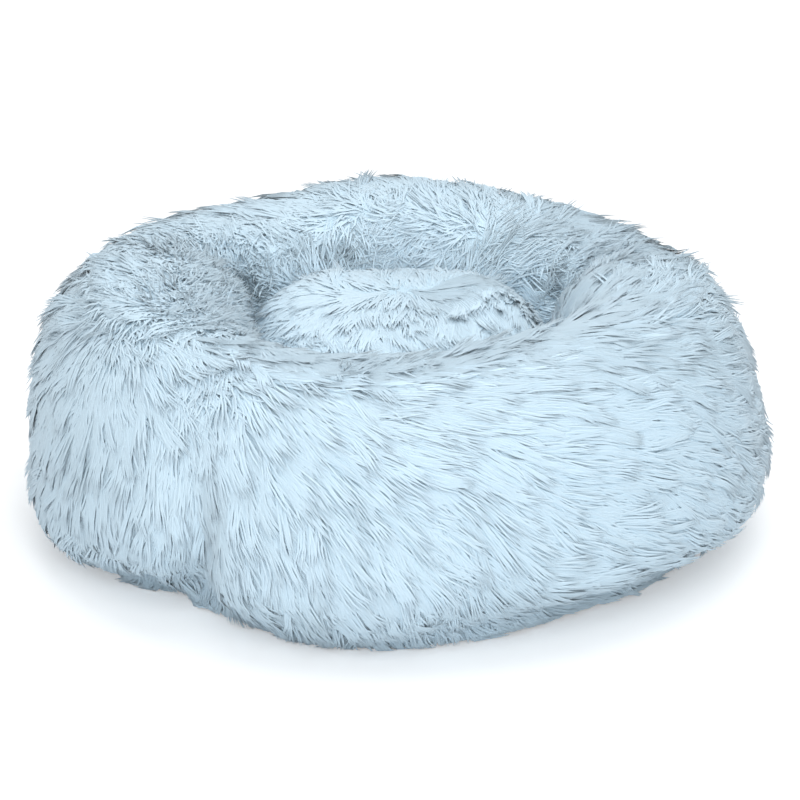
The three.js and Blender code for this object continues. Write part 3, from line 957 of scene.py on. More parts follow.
# %% A small helper for node trees
class Tree:
    """Geometry Nodes tree whose nodes are added with short calls."""

    def __init__(self, name, sockets):
        self.tree = bpy.data.node_groups.new(name, "GeometryNodeTree")
        self.identifiers = {}
        for label, kind in sockets:
            socket = self.tree.interface.new_socket(label, in_out="INPUT", socket_type=kind)
            self.identifiers[label] = socket.identifier
        self.tree.interface.new_socket("Geometry", in_out="OUTPUT", socket_type="NodeSocketGeometry")
        self.inputs = self.tree.nodes.new("NodeGroupInput").outputs
        self.result = self.tree.nodes.new("NodeGroupOutput").inputs[0]

    def node(self, kind, values=None, **options):
        """Adds a node; values maps the names of its inputs to numbers or to outputs."""
        made = self.tree.nodes.new(kind)
        for option, value in options.items():
            setattr(made, option, value)
        for label, value in (values or {}).items():
            if isinstance(label, int):
                socket = made.inputs[label]
            else:
                socket = next(s for s in made.inputs if s.name == label and s.enabled)
            if isinstance(value, bpy.types.NodeSocket):
                self.tree.links.new(value, socket)
            else:
                socket.default_value = value
        return next((s for s in made.outputs if s.enabled), None)

    def math(self, operation, first, second=0.0, third=0.0):
        """One Math node."""
        return self.node("ShaderNodeMath", {0: first, 1: second, 2: third}, operation=operation)

    def vector(self, operation, first, second=(0, 0, 0)):
        """One Vector Math node; a scale takes a number."""
        made = self.tree.nodes.new("ShaderNodeVectorMath")
        made.operation = operation
        pairs = [(0, first), (3, second)] if operation == "SCALE" else [(0, first), (1, second)]
        for index, value in pairs:
            if isinstance(value, bpy.types.NodeSocket):
                self.tree.links.new(value, made.inputs[index])
            else:
                made.inputs[index].default_value = value
        return made.outputs["Value" if operation in ("DOT_PRODUCT", "LENGTH") else "Vector"]

    def step(self, base, direction, amount):
        """base + direction * amount."""
        return self.vector("ADD", base, self.vector("SCALE", direction, amount))

    def parts(self, value):
        """Outputs X, Y and Z of a vector."""
        made = self.tree.nodes.new("ShaderNodeSeparateXYZ")
        self.tree.links.new(value, made.inputs[0])
        return made.outputs

    def read(self, name, kind="FLOAT"):
        """Value of a named attribute."""
        return self.node("GeometryNodeInputNamedAttribute", {"Name": name}, data_type=kind)

    def keep(self, geometry, name, value, kind="FLOAT", domain="POINT"):
        """Stores a named attribute."""
        values = {"Geometry": geometry, "Name": name, "Value": value}
        return self.node("GeometryNodeStoreNamedAttribute", values, data_type=kind, domain=domain)

    def chance(self, seed, low=0.0, high=1.0):
        """Random number for each point."""
        values = {"Min": low, "Max": high, "Seed": seed}
        return self.node("FunctionNodeRandomValue", values, data_type="FLOAT")


# %% Locks
# Most lock centres that a square metre can hold
MOST_LOCKS = 90000.0
# Slow drifts of a lock's way and height over the skin
DRIFT_SCALE = 48.0
SWELL_SCALE = 75.0


def noise_at(t, place, scale):
    """Smooth noise in space, centred on zero."""
    values = {"Vector": place, "Scale": scale, "Detail": 1.0}
    return t.math("SUBTRACT", t.node("ShaderNodeTexNoise", values), 0.5)


def scattered(t, give):
    """Roots over one zone, and lock centres over the whole skin, closer where the pile is wild."""
    values = {"A": t.read("zone", "INT"), "B": give["Zone"]}
    zone = t.node("FunctionNodeCompare", values, data_type="INT", operation="EQUAL")
    values = {"Mesh": give["Skin"], "Selection": zone, "Density": give["Strands"], "Seed": give["Seed"]}
    roots = t.node("GeometryNodeDistributePointsOnFaces", values, distribute_method="RANDOM")
    values = {"Value": t.read("wild"), "From Min": 0.15, "From Max": 0.8, "To Min": 0.6, "To Max": 1.0}
    closeness = t.node("ShaderNodeMapRange", values)
    values = {"Mesh": give["Skin"], "Distance Min": give["Lock Spacing"],
              "Density Max": MOST_LOCKS, "Density Factor": closeness, "Seed": 5}
    locks = t.node("GeometryNodeDistributePointsOnFaces", values, distribute_method="POISSON")
    return roots, locks


def lock_values(t, locks, index):
    """Reads the nearest lock's place, comb, length, wildness and its own random numbers."""
    def sample(value, kind):
        values = {"Geometry": locks, "Value": value, "Index": index}
        return t.node("GeometryNodeSampleIndex", values, data_type=kind, domain="POINT")

    place = t.node("GeometryNodeInputPosition")
    return {
        "place": sample(place, "FLOAT_VECTOR"),
        "out": sample(t.read("out", "FLOAT_VECTOR"), "FLOAT_VECTOR"),
        "comb": sample(t.read("comb", "FLOAT_VECTOR"), "FLOAT_VECTOR"),
        "reach": sample(t.read("reach"), "FLOAT"),
        "wild": sample(t.read("wild"), "FLOAT"),
        "stand": sample(t.read("stand"), "FLOAT"),
        # Painted shade of the hollows and the cushion, which darkens the lock's strands
        "shade": sample(t.read("shade"), "FLOAT"),
        "turn": sample(t.chance(11, -1.0, 1.0), "FLOAT"),
        "size": sample(t.chance(12), "FLOAT"),
        "tone": sample(t.chance(13), "FLOAT"),
        "lift": sample(t.chance(15), "FLOAT"),
        "phase": sample(t.chance(14, 0.0, TAU), "FLOAT"),
        "drift": sample(noise_at(t, place, DRIFT_SCALE), "FLOAT"),
        "swell": sample(noise_at(t, place, SWELL_SCALE), "FLOAT"),
    }


# %% [markdown]
# A strand's tip lies between the end that its own comb gives it and the end of its lock. The
# more a lock gathers, the closer its tips come together. The biggest locks lie over their
# neighbours, and a very few stray tips stand well off the rest.

# %% Where a strand ends
# How far a lock turns off the comb, calm and wild, and how far the slow drift turns it
LOCK_TURN = 0.16
LOCK_WILD_TURN = 2.4
DRIFT_TURN = 1.8
# The same for one strand
STRAND_TURN = 0.3
STRAND_WILD_TURN = 1.6
ROOT_JITTER = 0.3
# A lock's length over its size, and the range of its strands
SHORT_LOCK = 0.75
LOCK_GROWTH = 0.5
STRAND_LENGTHS = (0.65, 1.15)
# Locks above this size lie over the others; wildness makes them rarer
OVER_SHARE = 0.66
OVER_WILD = 0.45
OVER_GATHER = 0.18
WILD_GATHER = -0.22
PULLS = (0.7, 1.0)


def turned(t, direction, axis, angle):
    """Direction turned about the skin's normal."""
    values = {"Vector": direction, "Axis": axis, "Angle": angle}
    return t.node("ShaderNodeVectorRotate", values, rotation_type="AXIS_ANGLE")


def lies_over(t, lock):
    """1 for a lock that lies over its neighbours."""
    size = t.math("SUBTRACT", lock["size"], t.math("MULTIPLY", lock["wild"], OVER_WILD))
    return t.math("GREATER_THAN", size, OVER_SHARE)


def strand_end(t, give, place, out, lock, over):
    """Where a strand's tip points to, between its own end and its lock's."""
    lock_spread = t.math("MULTIPLY_ADD", lock["wild"], LOCK_WILD_TURN, LOCK_TURN)
    drift = t.math("MULTIPLY", lock["drift"], DRIFT_TURN)
    lock_angle = t.math("MULTIPLY_ADD", lock["turn"], lock_spread, drift)
    lock_way = turned(t, lock["comb"], lock["out"], lock_angle)
    lock_growth = t.math("MULTIPLY_ADD", lock["size"], LOCK_GROWTH, SHORT_LOCK)
    lock_length = t.math("MULTIPLY", give["Length"], t.math("MULTIPLY", lock["reach"], lock_growth))
    lock_end = t.step(lock["place"], lock_way, lock_length)

    comb = t.vector("NORMALIZE", t.read("comb", "FLOAT_VECTOR"))
    own_spread = t.math("MULTIPLY_ADD", t.read("wild"), STRAND_WILD_TURN, STRAND_TURN)
    own_way = turned(t, comb, out, t.math("MULTIPLY", t.chance(31, -1.0, 1.0), own_spread))
    own_length = t.math("MULTIPLY", lock_length, t.chance(32, *STRAND_LENGTHS))
    own_end = t.step(place, own_way, own_length)

    gather = t.math("MULTIPLY_ADD", over, OVER_GATHER, give["Gather"])
    gather = t.math("MULTIPLY_ADD", lock["wild"], WILD_GATHER, gather)
    pull = t.math("MULTIPLY", gather, t.chance(33, *PULLS))
    return t.step(own_end, t.vector("SUBTRACT", lock_end, own_end), pull)


# %% How high a strand stands
SWELL_SHARE = 1.2
# Heights are shares of the loft: at the tip, then at the bend
TIP_SIZE = 0.6
TIP_HEIGHTS = (0.3, 0.5)
STRAY_POWER = 7.0
STRAY_HEIGHT = 2.4
TOUSLE_HEIGHT = 2.0
OVER_TIP = 0.25
LOWEST_TIP = 0.15
BEND_SIZE = 0.3
BEND_HEIGHTS = (0.6, 0.85)
OVER_BEND = 0.4
LOWEST_BEND = 0.3


def tip_height(t, lock, over, swell):
    """Height of a tip above the skin, as a share of the loft."""
    stray = t.math("POWER", lock["size"], STRAY_POWER)
    share = t.math("MULTIPLY_ADD", lock["size"], TIP_SIZE, t.chance(35, *TIP_HEIGHTS))
    share = t.math("MULTIPLY_ADD", stray, STRAY_HEIGHT, share)
    tousle = t.math("MULTIPLY", t.math("MULTIPLY", lock["wild"], lock["lift"]), TOUSLE_HEIGHT)
    share = t.math("MULTIPLY", t.math("ADD", share, tousle), lock["stand"])
    share = t.math("ADD", t.math("MULTIPLY_ADD", over, OVER_TIP, share), swell)
    return t.math("MAXIMUM", share, LOWEST_TIP)


def bend_height(t, lock, over, swell):
    """Height of a strand's middle above the skin, as a share of the loft."""
    share = t.math("MULTIPLY_ADD", lock["size"], BEND_SIZE, t.chance(36, *BEND_HEIGHTS))
    share = t.math("ADD", t.math("MULTIPLY_ADD", over, OVER_BEND, share), swell)
    return t.math("MAXIMUM", share, LOWEST_BEND)


def laid(t, skin, point, height):
    """Point laid back onto the skin and lifted off it again, and the skin's normal there."""
    values = {0: skin, "Sample Position": point}
    surface = t.node("GeometryNodeProximity", values, target_element="FACES")
    values = {0: skin, "Value": t.read("out", "FLOAT_VECTOR"), "Sample Position": point}
    out = t.node("GeometryNodeSampleNearestSurface", values, data_type="FLOAT_VECTOR")
    return t.step(surface, out, height), out


# %% [markdown]
# Everything about a strand is stored on its root point. Then one cone is set on each root, and
# each of the cone's points reads those values and its own place along the cone, and moves to
# where the bent strand has it. The strand's normals lean towards the skin's, which makes the
# pile shade softly, like the fuzz that it is.

# %% Shape of a strand
# Sideways wave: how much it varies from lock to lock, and its turns from root to tip
WAVE_SPREAD = 0.8
WAVE_LEAST = 0.3
WAVE_TURN = 5.6
# Tone: how much it varies from lock to lock, and the range within one
TONE_SPREAD = 0.4
TONES = (0.3, 0.6)
# Thickness: at the root, its growth towards the tip, and how suddenly the tip closes
ROOT_THICKNESS = 0.75
THICKENING = 0.45
TAPER_POWER = 5.0
FLOOR_GAP = 0.4 * MM


def strand_values(t, give, lock, place, out, end, over):
    """Named values of a strand, kept on its root."""
    swell = t.math("MULTIPLY", lock["swell"], SWELL_SHARE)
    tip_lift = t.math("MULTIPLY", give["Loft"], tip_height(t, lock, over, swell))
    tip, tip_out = laid(t, give["Skin"], end, tip_lift)
    middle = t.vector("SCALE", t.vector("ADD", place, end), 0.5)
    crown_lift = t.math("MULTIPLY", give["Loft"], bend_height(t, lock, over, swell))
    crown, _ = laid(t, give["Skin"], middle, crown_lift)
    chord = t.vector("SCALE", t.vector("ADD", place, tip), 0.5)
    bend = t.vector("SUBTRACT", t.vector("SCALE", crown, 2.0), chord)
    across = t.vector("CROSS_PRODUCT", out, t.vector("SUBTRACT", tip, place))
    sway = t.math("MULTIPLY_ADD", lock["tone"], WAVE_SPREAD, WAVE_LEAST)
    tone = t.math("MULTIPLY_ADD", lock["tone"], TONE_SPREAD, t.chance(37, *TONES))
    vectors = {"root": place, "bend": bend, "tip": tip, "across": t.vector("NORMALIZE", across),
               "root_out": out, "tip_out": tip_out}
    # The painted shade lowers the random tone, and the material shows that as darker, greyer pile
    numbers = {"sway": t.math("MULTIPLY", give["Wave"], sway), "phase": lock["phase"],
               "tone": t.math("MULTIPLY", tone, t.math("SUBTRACT", 1.0, lock["shade"]))}
    return vectors, numbers


def bent_strand(t, give, form, along, rest):
    """Where a point of the cone goes on its strand."""
    root = t.read("root", "FLOAT_VECTOR")
    bend = t.read("bend", "FLOAT_VECTOR")
    tip = t.read("tip", "FLOAT_VECTOR")
    side = t.read("across", "FLOAT_VECTOR")
    curve = t.vector("SCALE", root, t.math("MULTIPLY", rest, rest))
    curve = t.step(curve, bend, t.math("MULTIPLY", t.math("MULTIPLY", rest, along), 2.0))
    curve = t.step(curve, tip, t.math("MULTIPLY", along, along))
    wave_angle = t.math("MULTIPLY_ADD", along, WAVE_TURN, t.read("phase"))
    wave = t.math("MULTIPLY", t.math("SINE", wave_angle), along)
    curve = t.step(curve, side, t.math("MULTIPLY", wave, t.read("sway")))

    heading = t.vector("SCALE", t.vector("SUBTRACT", bend, root), rest)
    heading = t.step(heading, t.vector("SUBTRACT", tip, bend), along)
    above = t.vector("NORMALIZE", t.vector("CROSS_PRODUCT", heading, side))
    taper = t.math("SUBTRACT", 1.0, t.math("POWER", along, TAPER_POWER))
    thickness = t.math("MULTIPLY", taper, t.math("MULTIPLY_ADD", along, THICKENING, ROOT_THICKNESS))
    thickness = t.math("MULTIPLY", thickness, t.math("MULTIPLY", give["Width"], 0.5))
    ring = t.parts(t.vector("NORMALIZE", t.vector("MULTIPLY", form, (1, 1, 0))))
    curve = t.step(curve, side, t.math("MULTIPLY", thickness, ring["X"]))
    curve = t.step(curve, above, t.math("MULTIPLY", thickness, ring["Y"]))
    return t.vector("MAXIMUM", curve, (-1, -1, FLOOR_GAP))


def softened(t, give, strands, along, rest):
    """Strands whose normals lean towards the skin's."""
    own_normal = t.node("GeometryNodeInputNormal")
    skin_normal = t.vector("SCALE", t.read("root_out", "FLOAT_VECTOR"), rest)
    skin_normal = t.vector("NORMALIZE", t.step(skin_normal, t.read("tip_out", "FLOAT_VECTOR"), along))
    change = t.vector("SUBTRACT", skin_normal, own_normal)
    normal = t.vector("NORMALIZE", t.step(own_normal, change, give["Softness"]))
    values = {"Mesh": strands, "Custom Normal": normal}
    return t.node("GeometryNodeSetMeshNormal", values, mode="FREE", domain="POINT")


# %% The pile tree
PILE_SOCKETS = (
    ("Skin", "NodeSocketGeometry"),
    ("Zone", "NodeSocketInt"),
    ("Strands", "NodeSocketFloat"),
    ("Length", "NodeSocketFloat"),
    ("Width", "NodeSocketFloat"),
    ("Lock Spacing", "NodeSocketFloat"),
    ("Loft", "NodeSocketFloat"),
    ("Wave", "NodeSocketFloat"),
    ("Gather", "NodeSocketFloat"),
    ("Softness", "NodeSocketFloat"),
    ("Seed", "NodeSocketInt"),
    ("Material", "NodeSocketMaterial"),
)
CONE = {"Vertices": 3, "Side Segments": 3, "Fill Segments": 1, "Radius Top": 0.0,
        "Radius Bottom": 1.0, "Depth": 1.0}


def rooted(t, give):
    """Root points that carry the values of their strands."""
    roots, locks = scattered(t, give)
    place = t.node("GeometryNodeInputPosition")
    out = t.vector("NORMALIZE", t.read("out", "FLOAT_VECTOR"))
    values = {"Min": (-1, -1, -1), "Max": (1, 1, 1), "Seed": 21}
    noise = t.node("FunctionNodeRandomValue", values, data_type="FLOAT_VECTOR")
    moved = t.step(place, noise, t.math("MULTIPLY", give["Lock Spacing"], ROOT_JITTER))
    values = {"Geometry": locks, "Sample Position": moved}
    index = t.node("GeometryNodeSampleNearest", values, domain="POINT")
    lock = lock_values(t, locks, index)
    over = lies_over(t, lock)
    end = strand_end(t, give, place, out, lock, over)
    vectors, numbers = strand_values(t, give, lock, place, out, end, over)
    for name, value in vectors.items():
        roots = t.keep(roots, name, value, "FLOAT_VECTOR")
    for name, value in numbers.items():
        roots = t.keep(roots, name, value)
    return roots


def pile_tree():
    """Builds the tree that grows the pile of one zone."""
    t = Tree("pile", PILE_SOCKETS)
    give = t.inputs
    cone = t.node("GeometryNodeMeshCone", CONE, fill_type="NGON")
    cone = t.keep(cone, "form", t.node("GeometryNodeInputPosition"), "FLOAT_VECTOR")
    strands = t.node("GeometryNodeInstanceOnPoints", {"Points": rooted(t, give), "Instance": cone})
    strands = t.node("GeometryNodeRealizeInstances", {"Geometry": strands})

    form = t.read("form", "FLOAT_VECTOR")
    along = t.parts(form)["Z"]
    rest = t.math("SUBTRACT", 1.0, along)
    curve = bent_strand(t, give, form, along, rest)
    strands = t.node("GeometryNodeSetPosition", {"Geometry": strands, "Position": curve})
    pair = t.node("ShaderNodeCombineXYZ", {"X": t.read("tone"), "Y": along})
    strands = t.keep(strands, "OFBake", pair, "FLOAT2", "CORNER")
    strands = t.node("GeometryNodeSetShadeSmooth", {"Geometry": strands})
    strands = softened(t, give, strands, along, rest)
    strands = t.node("GeometryNodeSetMaterial", {"Geometry": strands, "Material": give["Material"]})
    t.tree.links.new(strands, t.result)
    return t


pile_nodes = pile_tree()
print("pile tree", len(pile_nodes.tree.nodes), "nodes")

# %% [markdown]
# Each strand carries two numbers into its material: its tone, and how far along it a point
# lies. The pile is a little deeper in color at the root and pale at the tip. The tone varies at
# random, and painted shade in the hollows and on the cushion lowers it, to greyer, darker pile.

# %% Pile material
STRAND_COLORS = (
    # share from root to tip, color
    (0.0, (0.635, 0.82, 0.945, 1)),
    (0.45, (0.655, 0.835, 0.958, 1)),
    (1.0, (0.67, 0.845, 0.965, 1)),
)
STRAND_TONES_AND_SHADE = (
    # tone, what it multiplies the color by; tones below 0.3 come only from painted shade
    (0.0, (0.20, 0.215, 0.225, 1)),
    (0.3, (0.88, 0.88, 0.875, 1)),
    (0.5, (0.965, 0.96, 0.955, 1)),
    (1.0, (1.0, 1.0, 1.0, 1)),
)


def color_ramp(tree, stops, share):
    """Colors read off a list of stops."""
    ramp = tree.nodes.new("ShaderNodeValToRGB")
    elements = ramp.color_ramp.elements
    elements[0].color = stops[0][1]
    elements[1].color = stops[-1][1]
    for position, color in stops[1:-1]:
        elements.new(position).color = color
    tree.links.new(share, ramp.inputs[0])
    return ramp.outputs["Color"]


def pile_material():
    """Polyester pile, from the two numbers that its strands carry."""
    material = bpy.data.materials.new("plush_pile")
    material.use_nodes = True
    tree = material.node_tree
    shader = tree.nodes["Principled BSDF"]
    uv = tree.nodes.new("ShaderNodeUVMap")
    uv.uv_map = "OFBake"
    parts = tree.nodes.new("ShaderNodeSeparateXYZ")
    tree.links.new(uv.outputs[0], parts.inputs[0])
    tint = tree.nodes.new("ShaderNodeVectorMath")
    tint.operation = "MULTIPLY"
    tree.links.new(color_ramp(tree, STRAND_COLORS, parts.outputs["Y"]), tint.inputs[0])
    tree.links.new(color_ramp(tree, STRAND_TONES_AND_SHADE, parts.outputs["X"]), tint.inputs[1])
    tree.links.new(tint.outputs[0], shader.inputs["Base Color"])
    shader.inputs["Roughness"].default_value = 0.62
    shader.inputs["Specular IOR Level"].default_value = 0.3
    shader.inputs["Sheen Weight"].default_value = 0.1
    shader.inputs["Sheen Roughness"].default_value = 0.5
    return material


plush_pile = pile_material()
print("pile material", len(plush_pile.node_tree.nodes), "nodes")

# %% [markdown]
# Each zone is grown on a passing object that wears the tree as a modifier. What comes out is kept
# as a plain mesh, without the values that only served to grow it. Strands are counted per
# square metre of skin, gather and softness are shares, and the rest is in metres.

# %% Growing it
PILE = {
    "Strands": 215000.0,
    "Length": 37 * MM,
    "Width": 1.5 * MM,
    "Lock Spacing": 3.8 * MM,
    "Loft": 2.7 * MM,
    "Wave": 1.8 * MM,
    "Gather": 0.66,
    "Softness": 0.76,
}
CUSHION_PILE = {
    "Strands": 205000.0,
    "Length": 36 * MM,
    "Loft": 1.8 * MM,
    "Wave": 1.4 * MM,
    "Softness": 0.7,
}
FIRST_SEED = 100
CUSHION_SEED = 200
SCRATCH = (
    "root", "bend", "tip", "across", "root_out", "tip_out", "sway", "phase", "tone", "form",
    "out", "comb", "reach", "wild", "stand", "shade", "zone", "id", "Normal",
)


def grow(name, skin, zone, seed, node, **changes):
    """Grows one zone's pile as a plain mesh object, and hides the CAD node that it stands for."""
    grower = bpy.data.objects.new(name + "_grower", skin)
    scene.collection.objects.link(grower)
    modifier = grower.modifiers.new("pile", "NODES")
    modifier.node_group = pile_nodes.tree
    settings = {**PILE, **changes, "Zone": zone, "Seed": seed, "Material": plush_pile}
    for label, value in settings.items():
        modifier[pile_nodes.identifiers[label]] = value
    grown = grower.evaluated_get(bpy.context.evaluated_depsgraph_get())
    mesh = bpy.data.meshes.new_from_object(grown)
    mesh.name = name
    bpy.data.objects.remove(grower)
    for attribute in SCRATCH:
        if attribute in mesh.attributes:
            mesh.attributes.remove(mesh.attributes[attribute])
    piece = bpy.data.objects.new(name, mesh)
    scene.collection.objects.link(piece)
    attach(piece, BODY)
    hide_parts(node)
    print(name, sum(len(polygon.vertices) - 2 for polygon in mesh.polygons), "triangles")


for panel, place in enumerate(PANELS):
    for band, height in enumerate(BANDS):
        zone = panel * len(BANDS) + band
        grow(f"ring_pile_{place}_{height}", ring_skin, zone, FIRST_SEED + zone, f"bolster_cover_{place}")
grow("cushion_pile", cushion_skin, 0, CUSHION_SEED, "cushion_cover", **CUSHION_PILE)

# %% [markdown]
# ## Cloth, rubber and metal
# Two small shader groups serve all the other materials. One gives the raised yarns of a cloth,
# the other the fine scratches of plated metal. They give out only masks and normals, and each
# material decides for itself what it does with them.


# %% Shared pattern groups
def pattern_group(name, sockets, results):
    """Empty shader node group with named inputs and outputs."""
    group = bpy.data.node_groups.new(name, "ShaderNodeTree")
    for label, kind, value in sockets:
        socket = group.interface.new_socket(label, in_out="INPUT", socket_type=kind)
        socket.default_value = value
    for label, kind in results:
        group.interface.new_socket(label, in_out="OUTPUT", socket_type=kind)
    return group, group.nodes.new("NodeGroupInput"), group.nodes.new("NodeGroupOutput")


def place_node(group):
    """Object coordinates, the same on every piece."""
    return group.nodes.new("ShaderNodeTexCoord").outputs["Object"]


def wave_mask(group, place, direction, size, sharp):
    """Bands across one axis of object space: 0 between yarns and 1 on them."""
    wave = group.nodes.new("ShaderNodeTexWave")
    wave.bands_direction = direction
    wave.inputs["Distortion"].default_value = 0.6
    wave.inputs["Detail"].default_value = sharp
    wave.inputs["Detail Scale"].default_value = 2.0
    group.links.new(place, wave.inputs["Vector"])
    group.links.new(size, wave.inputs["Scale"])
    return wave.outputs["Fac"]


def weave_group():
    """Woven or knitted cloth: a mask of raised yarns, a mottle and a normal."""
    group, give, result = pattern_group(
        "cloth_weave",
        [("Scale", "NodeSocketFloat", 400.0), ("Depth", "NodeSocketFloat", 0.3)],
        [("Yarns", "NodeSocketFloat"), ("Mottle", "NodeSocketFloat"), ("Normal", "NodeSocketVector")])
    place = place_node(group)
    masks = [wave_mask(group, place, axis, give.outputs["Scale"], 1.0) for axis in ("X", "Y", "Z")]
    joined = masks[0]
    for mask in masks[1:]:
        node = group.nodes.new("ShaderNodeMath")
        node.operation = "MAXIMUM"
        group.links.new(joined, node.inputs[0])
        group.links.new(mask, node.inputs[1])
        joined = node.outputs[0]
    noise = group.nodes.new("ShaderNodeTexNoise")
    noise.inputs["Scale"].default_value = 45.0
    noise.inputs["Detail"].default_value = 3.0
    group.links.new(place, noise.inputs["Vector"])
    bump = group.nodes.new("ShaderNodeBump")
    bump.inputs["Distance"].default_value = 0.4 * MM
    group.links.new(give.outputs["Depth"], bump.inputs["Strength"])
    group.links.new(joined, bump.inputs["Height"])
    group.links.new(joined, result.inputs["Yarns"])
    group.links.new(noise.outputs["Fac"], result.inputs["Mottle"])
    group.links.new(bump.outputs["Normal"], result.inputs["Normal"])
    return group


def wear_group():
    """Fine scratches and finger marks on metal: a roughness, a tone and a normal."""
    group, give, result = pattern_group(
        "metal_wear",
        [("Scale", "NodeSocketFloat", 900.0), ("Roughness", "NodeSocketFloat", 0.28)],
        [("Roughness", "NodeSocketFloat"), ("Tone", "NodeSocketFloat"), ("Normal", "NodeSocketVector")])
    place = place_node(group)
    stretch = group.nodes.new("ShaderNodeMapping")
    stretch.inputs["Scale"].default_value = (0.25, 1.0, 1.0)
    group.links.new(place, stretch.inputs["Vector"])
    scratch = group.nodes.new("ShaderNodeTexNoise")
    scratch.inputs["Detail"].default_value = 4.0
    group.links.new(stretch.outputs[0], scratch.inputs["Vector"])
    group.links.new(give.outputs["Scale"], scratch.inputs["Scale"])
    rough = group.nodes.new("ShaderNodeMath")
    rough.operation = "MULTIPLY_ADD"
    rough.inputs[1].default_value = 0.25
    group.links.new(scratch.outputs["Fac"], rough.inputs[0])
    group.links.new(give.outputs["Roughness"], rough.inputs[2])
    bump = group.nodes.new("ShaderNodeBump")
    bump.inputs["Strength"].default_value = 0.15
    bump.inputs["Distance"].default_value = 0.05 * MM
    group.links.new(scratch.outputs["Fac"], bump.inputs["Height"])
    group.links.new(rough.outputs[0], result.inputs["Roughness"])
    group.links.new(scratch.outputs["Fac"], result.inputs["Tone"])
    group.links.new(bump.outputs["Normal"], result.inputs["Normal"])
    return group


weave = weave_group()
wear = wear_group()
print("pattern groups", weave.name, wear.name)


# %% Cloth and metal materials
def mixed(tree, factor, low, high):
    """Color between two colors by a factor; either may be the output of a node."""
    mix = tree.nodes.new("ShaderNodeMix")
    mix.data_type = "RGBA"
    sockets = [s for s in mix.inputs if s.name in ("A", "B") and s.type == "RGBA"]
    for socket, color in zip(sockets, (low, high)):
        if isinstance(color, bpy.types.NodeSocket):
            tree.links.new(color, socket)
        else:
            socket.default_value = color
    tree.links.new(factor, mix.inputs[0])
    return next(s for s in mix.outputs if s.type == "RGBA")


def cloth_material(name, low, high, scale, depth, roughness, specular=0.2):
    """Cloth whose yarns and mottle shift its color."""
    material = bpy.data.materials.new(name)
    material.use_nodes = True
    tree = material.node_tree
    shader = tree.nodes["Principled BSDF"]
    group = tree.nodes.new("ShaderNodeGroup")
    group.node_tree = weave
    group.inputs["Scale"].default_value = scale
    group.inputs["Depth"].default_value = depth
    blend = tree.nodes.new("ShaderNodeMath")
    blend.operation = "MULTIPLY"
    tree.links.new(group.outputs["Yarns"], blend.inputs[0])
    tree.links.new(group.outputs["Mottle"], blend.inputs[1])
    tree.links.new(mixed(tree, blend.outputs[0], low, high), shader.inputs["Base Color"])
    tree.links.new(group.outputs["Normal"], shader.inputs["Normal"])
    shader.inputs["Roughness"].default_value = roughness
    shader.inputs["Specular IOR Level"].default_value = specular
    return material


def metal_material(name, low, high, roughness):
    """Plated metal with fine wear."""
    material = bpy.data.materials.new(name)
    material.use_nodes = True
    tree = material.node_tree
    shader = tree.nodes["Principled BSDF"]
    group = tree.nodes.new("ShaderNodeGroup")
    group.node_tree = wear
    group.inputs["Roughness"].default_value = roughness
    tree.links.new(mixed(tree, group.outputs["Tone"], low, high), shader.inputs["Base Color"])
    tree.links.new(group.outputs["Roughness"], shader.inputs["Roughness"])
    tree.links.new(group.outputs["Normal"], shader.inputs["Normal"])
    shader.inputs["Metallic"].default_value = 1.0
    return material


backing = cloth_material("plush_backing", (0.59, 0.78, 0.91, 1), (0.65, 0.83, 0.95, 1),
                         scale=260.0, depth=0.4, roughness=0.9)
fibre_fill = cloth_material("polyester_fibre", (0.82, 0.83, 0.84, 1), (0.93, 0.93, 0.92, 1),
                            scale=90.0, depth=0.8, roughness=0.95)
base_cloth = cloth_material("base_cloth", (0.16, 0.18, 0.20, 1), (0.24, 0.26, 0.28, 1),
                            scale=520.0, depth=0.35, roughness=0.8)
dot_rubber = cloth_material("moulded_dots", (0.10, 0.11, 0.12, 1), (0.14, 0.15, 0.16, 1),
                            scale=300.0, depth=0.1, roughness=0.55, specular=0.4)
tape_cloth = cloth_material("zip_tape", (0.30, 0.42, 0.52, 1), (0.42, 0.55, 0.65, 1),
                            scale=700.0, depth=0.4, roughness=0.75)
coil_plastic = cloth_material("zip_coil", (0.34, 0.46, 0.55, 1), (0.44, 0.57, 0.66, 1),
                              scale=900.0, depth=0.05, roughness=0.4, specular=0.5)
satin = cloth_material("label_satin", (0.80, 0.81, 0.82, 1), (0.92, 0.92, 0.92, 1),
                       scale=1100.0, depth=0.2, roughness=0.42, specular=0.5)
thread = cloth_material("thread", (0.40, 0.54, 0.64, 1), (0.52, 0.66, 0.75, 1),
                        scale=1500.0, depth=0.3, roughness=0.7)
nickel = metal_material("nickel", (0.62, 0.62, 0.61, 1), (0.78, 0.78, 0.77, 1), roughness=0.24)
print("materials ready")

# %% [markdown]
# The CAD's half of the base is one solid, cloth and moulded dots together. Only the dots reach
# down to the floor, so the level alone tells the material which is which.

# %% Rubber on the CAD's dots
RUBBER_LEVEL = 1.5 * MM
RUBBER = (0.12, 0.13, 0.14, 1)


def rubber_below(material, level):
    """Gives whatever stands below a level, which is the moulded dots, the rubber's dark tone."""
    tree = material.node_tree
    shader = tree.nodes["Principled BSDF"]
    cloth_color = shader.inputs["Base Color"].links[0].from_socket
    place = tree.nodes.new("ShaderNodeTexCoord")
    parts = tree.nodes.new("ShaderNodeSeparateXYZ")
    tree.links.new(place.outputs["Object"], parts.inputs[0])
    below = tree.nodes.new("ShaderNodeMath")
    below.operation = "LESS_THAN"
    below.inputs[1].default_value = level
    tree.links.new(parts.outputs["Z"], below.inputs[0])
    tree.links.new(mixed(tree, below.outputs[0], cloth_color, RUBBER), shader.inputs["Base Color"])


rubber_below(base_cloth, RUBBER_LEVEL)
print("rubber below", RUBBER_LEVEL / MM, "mm")

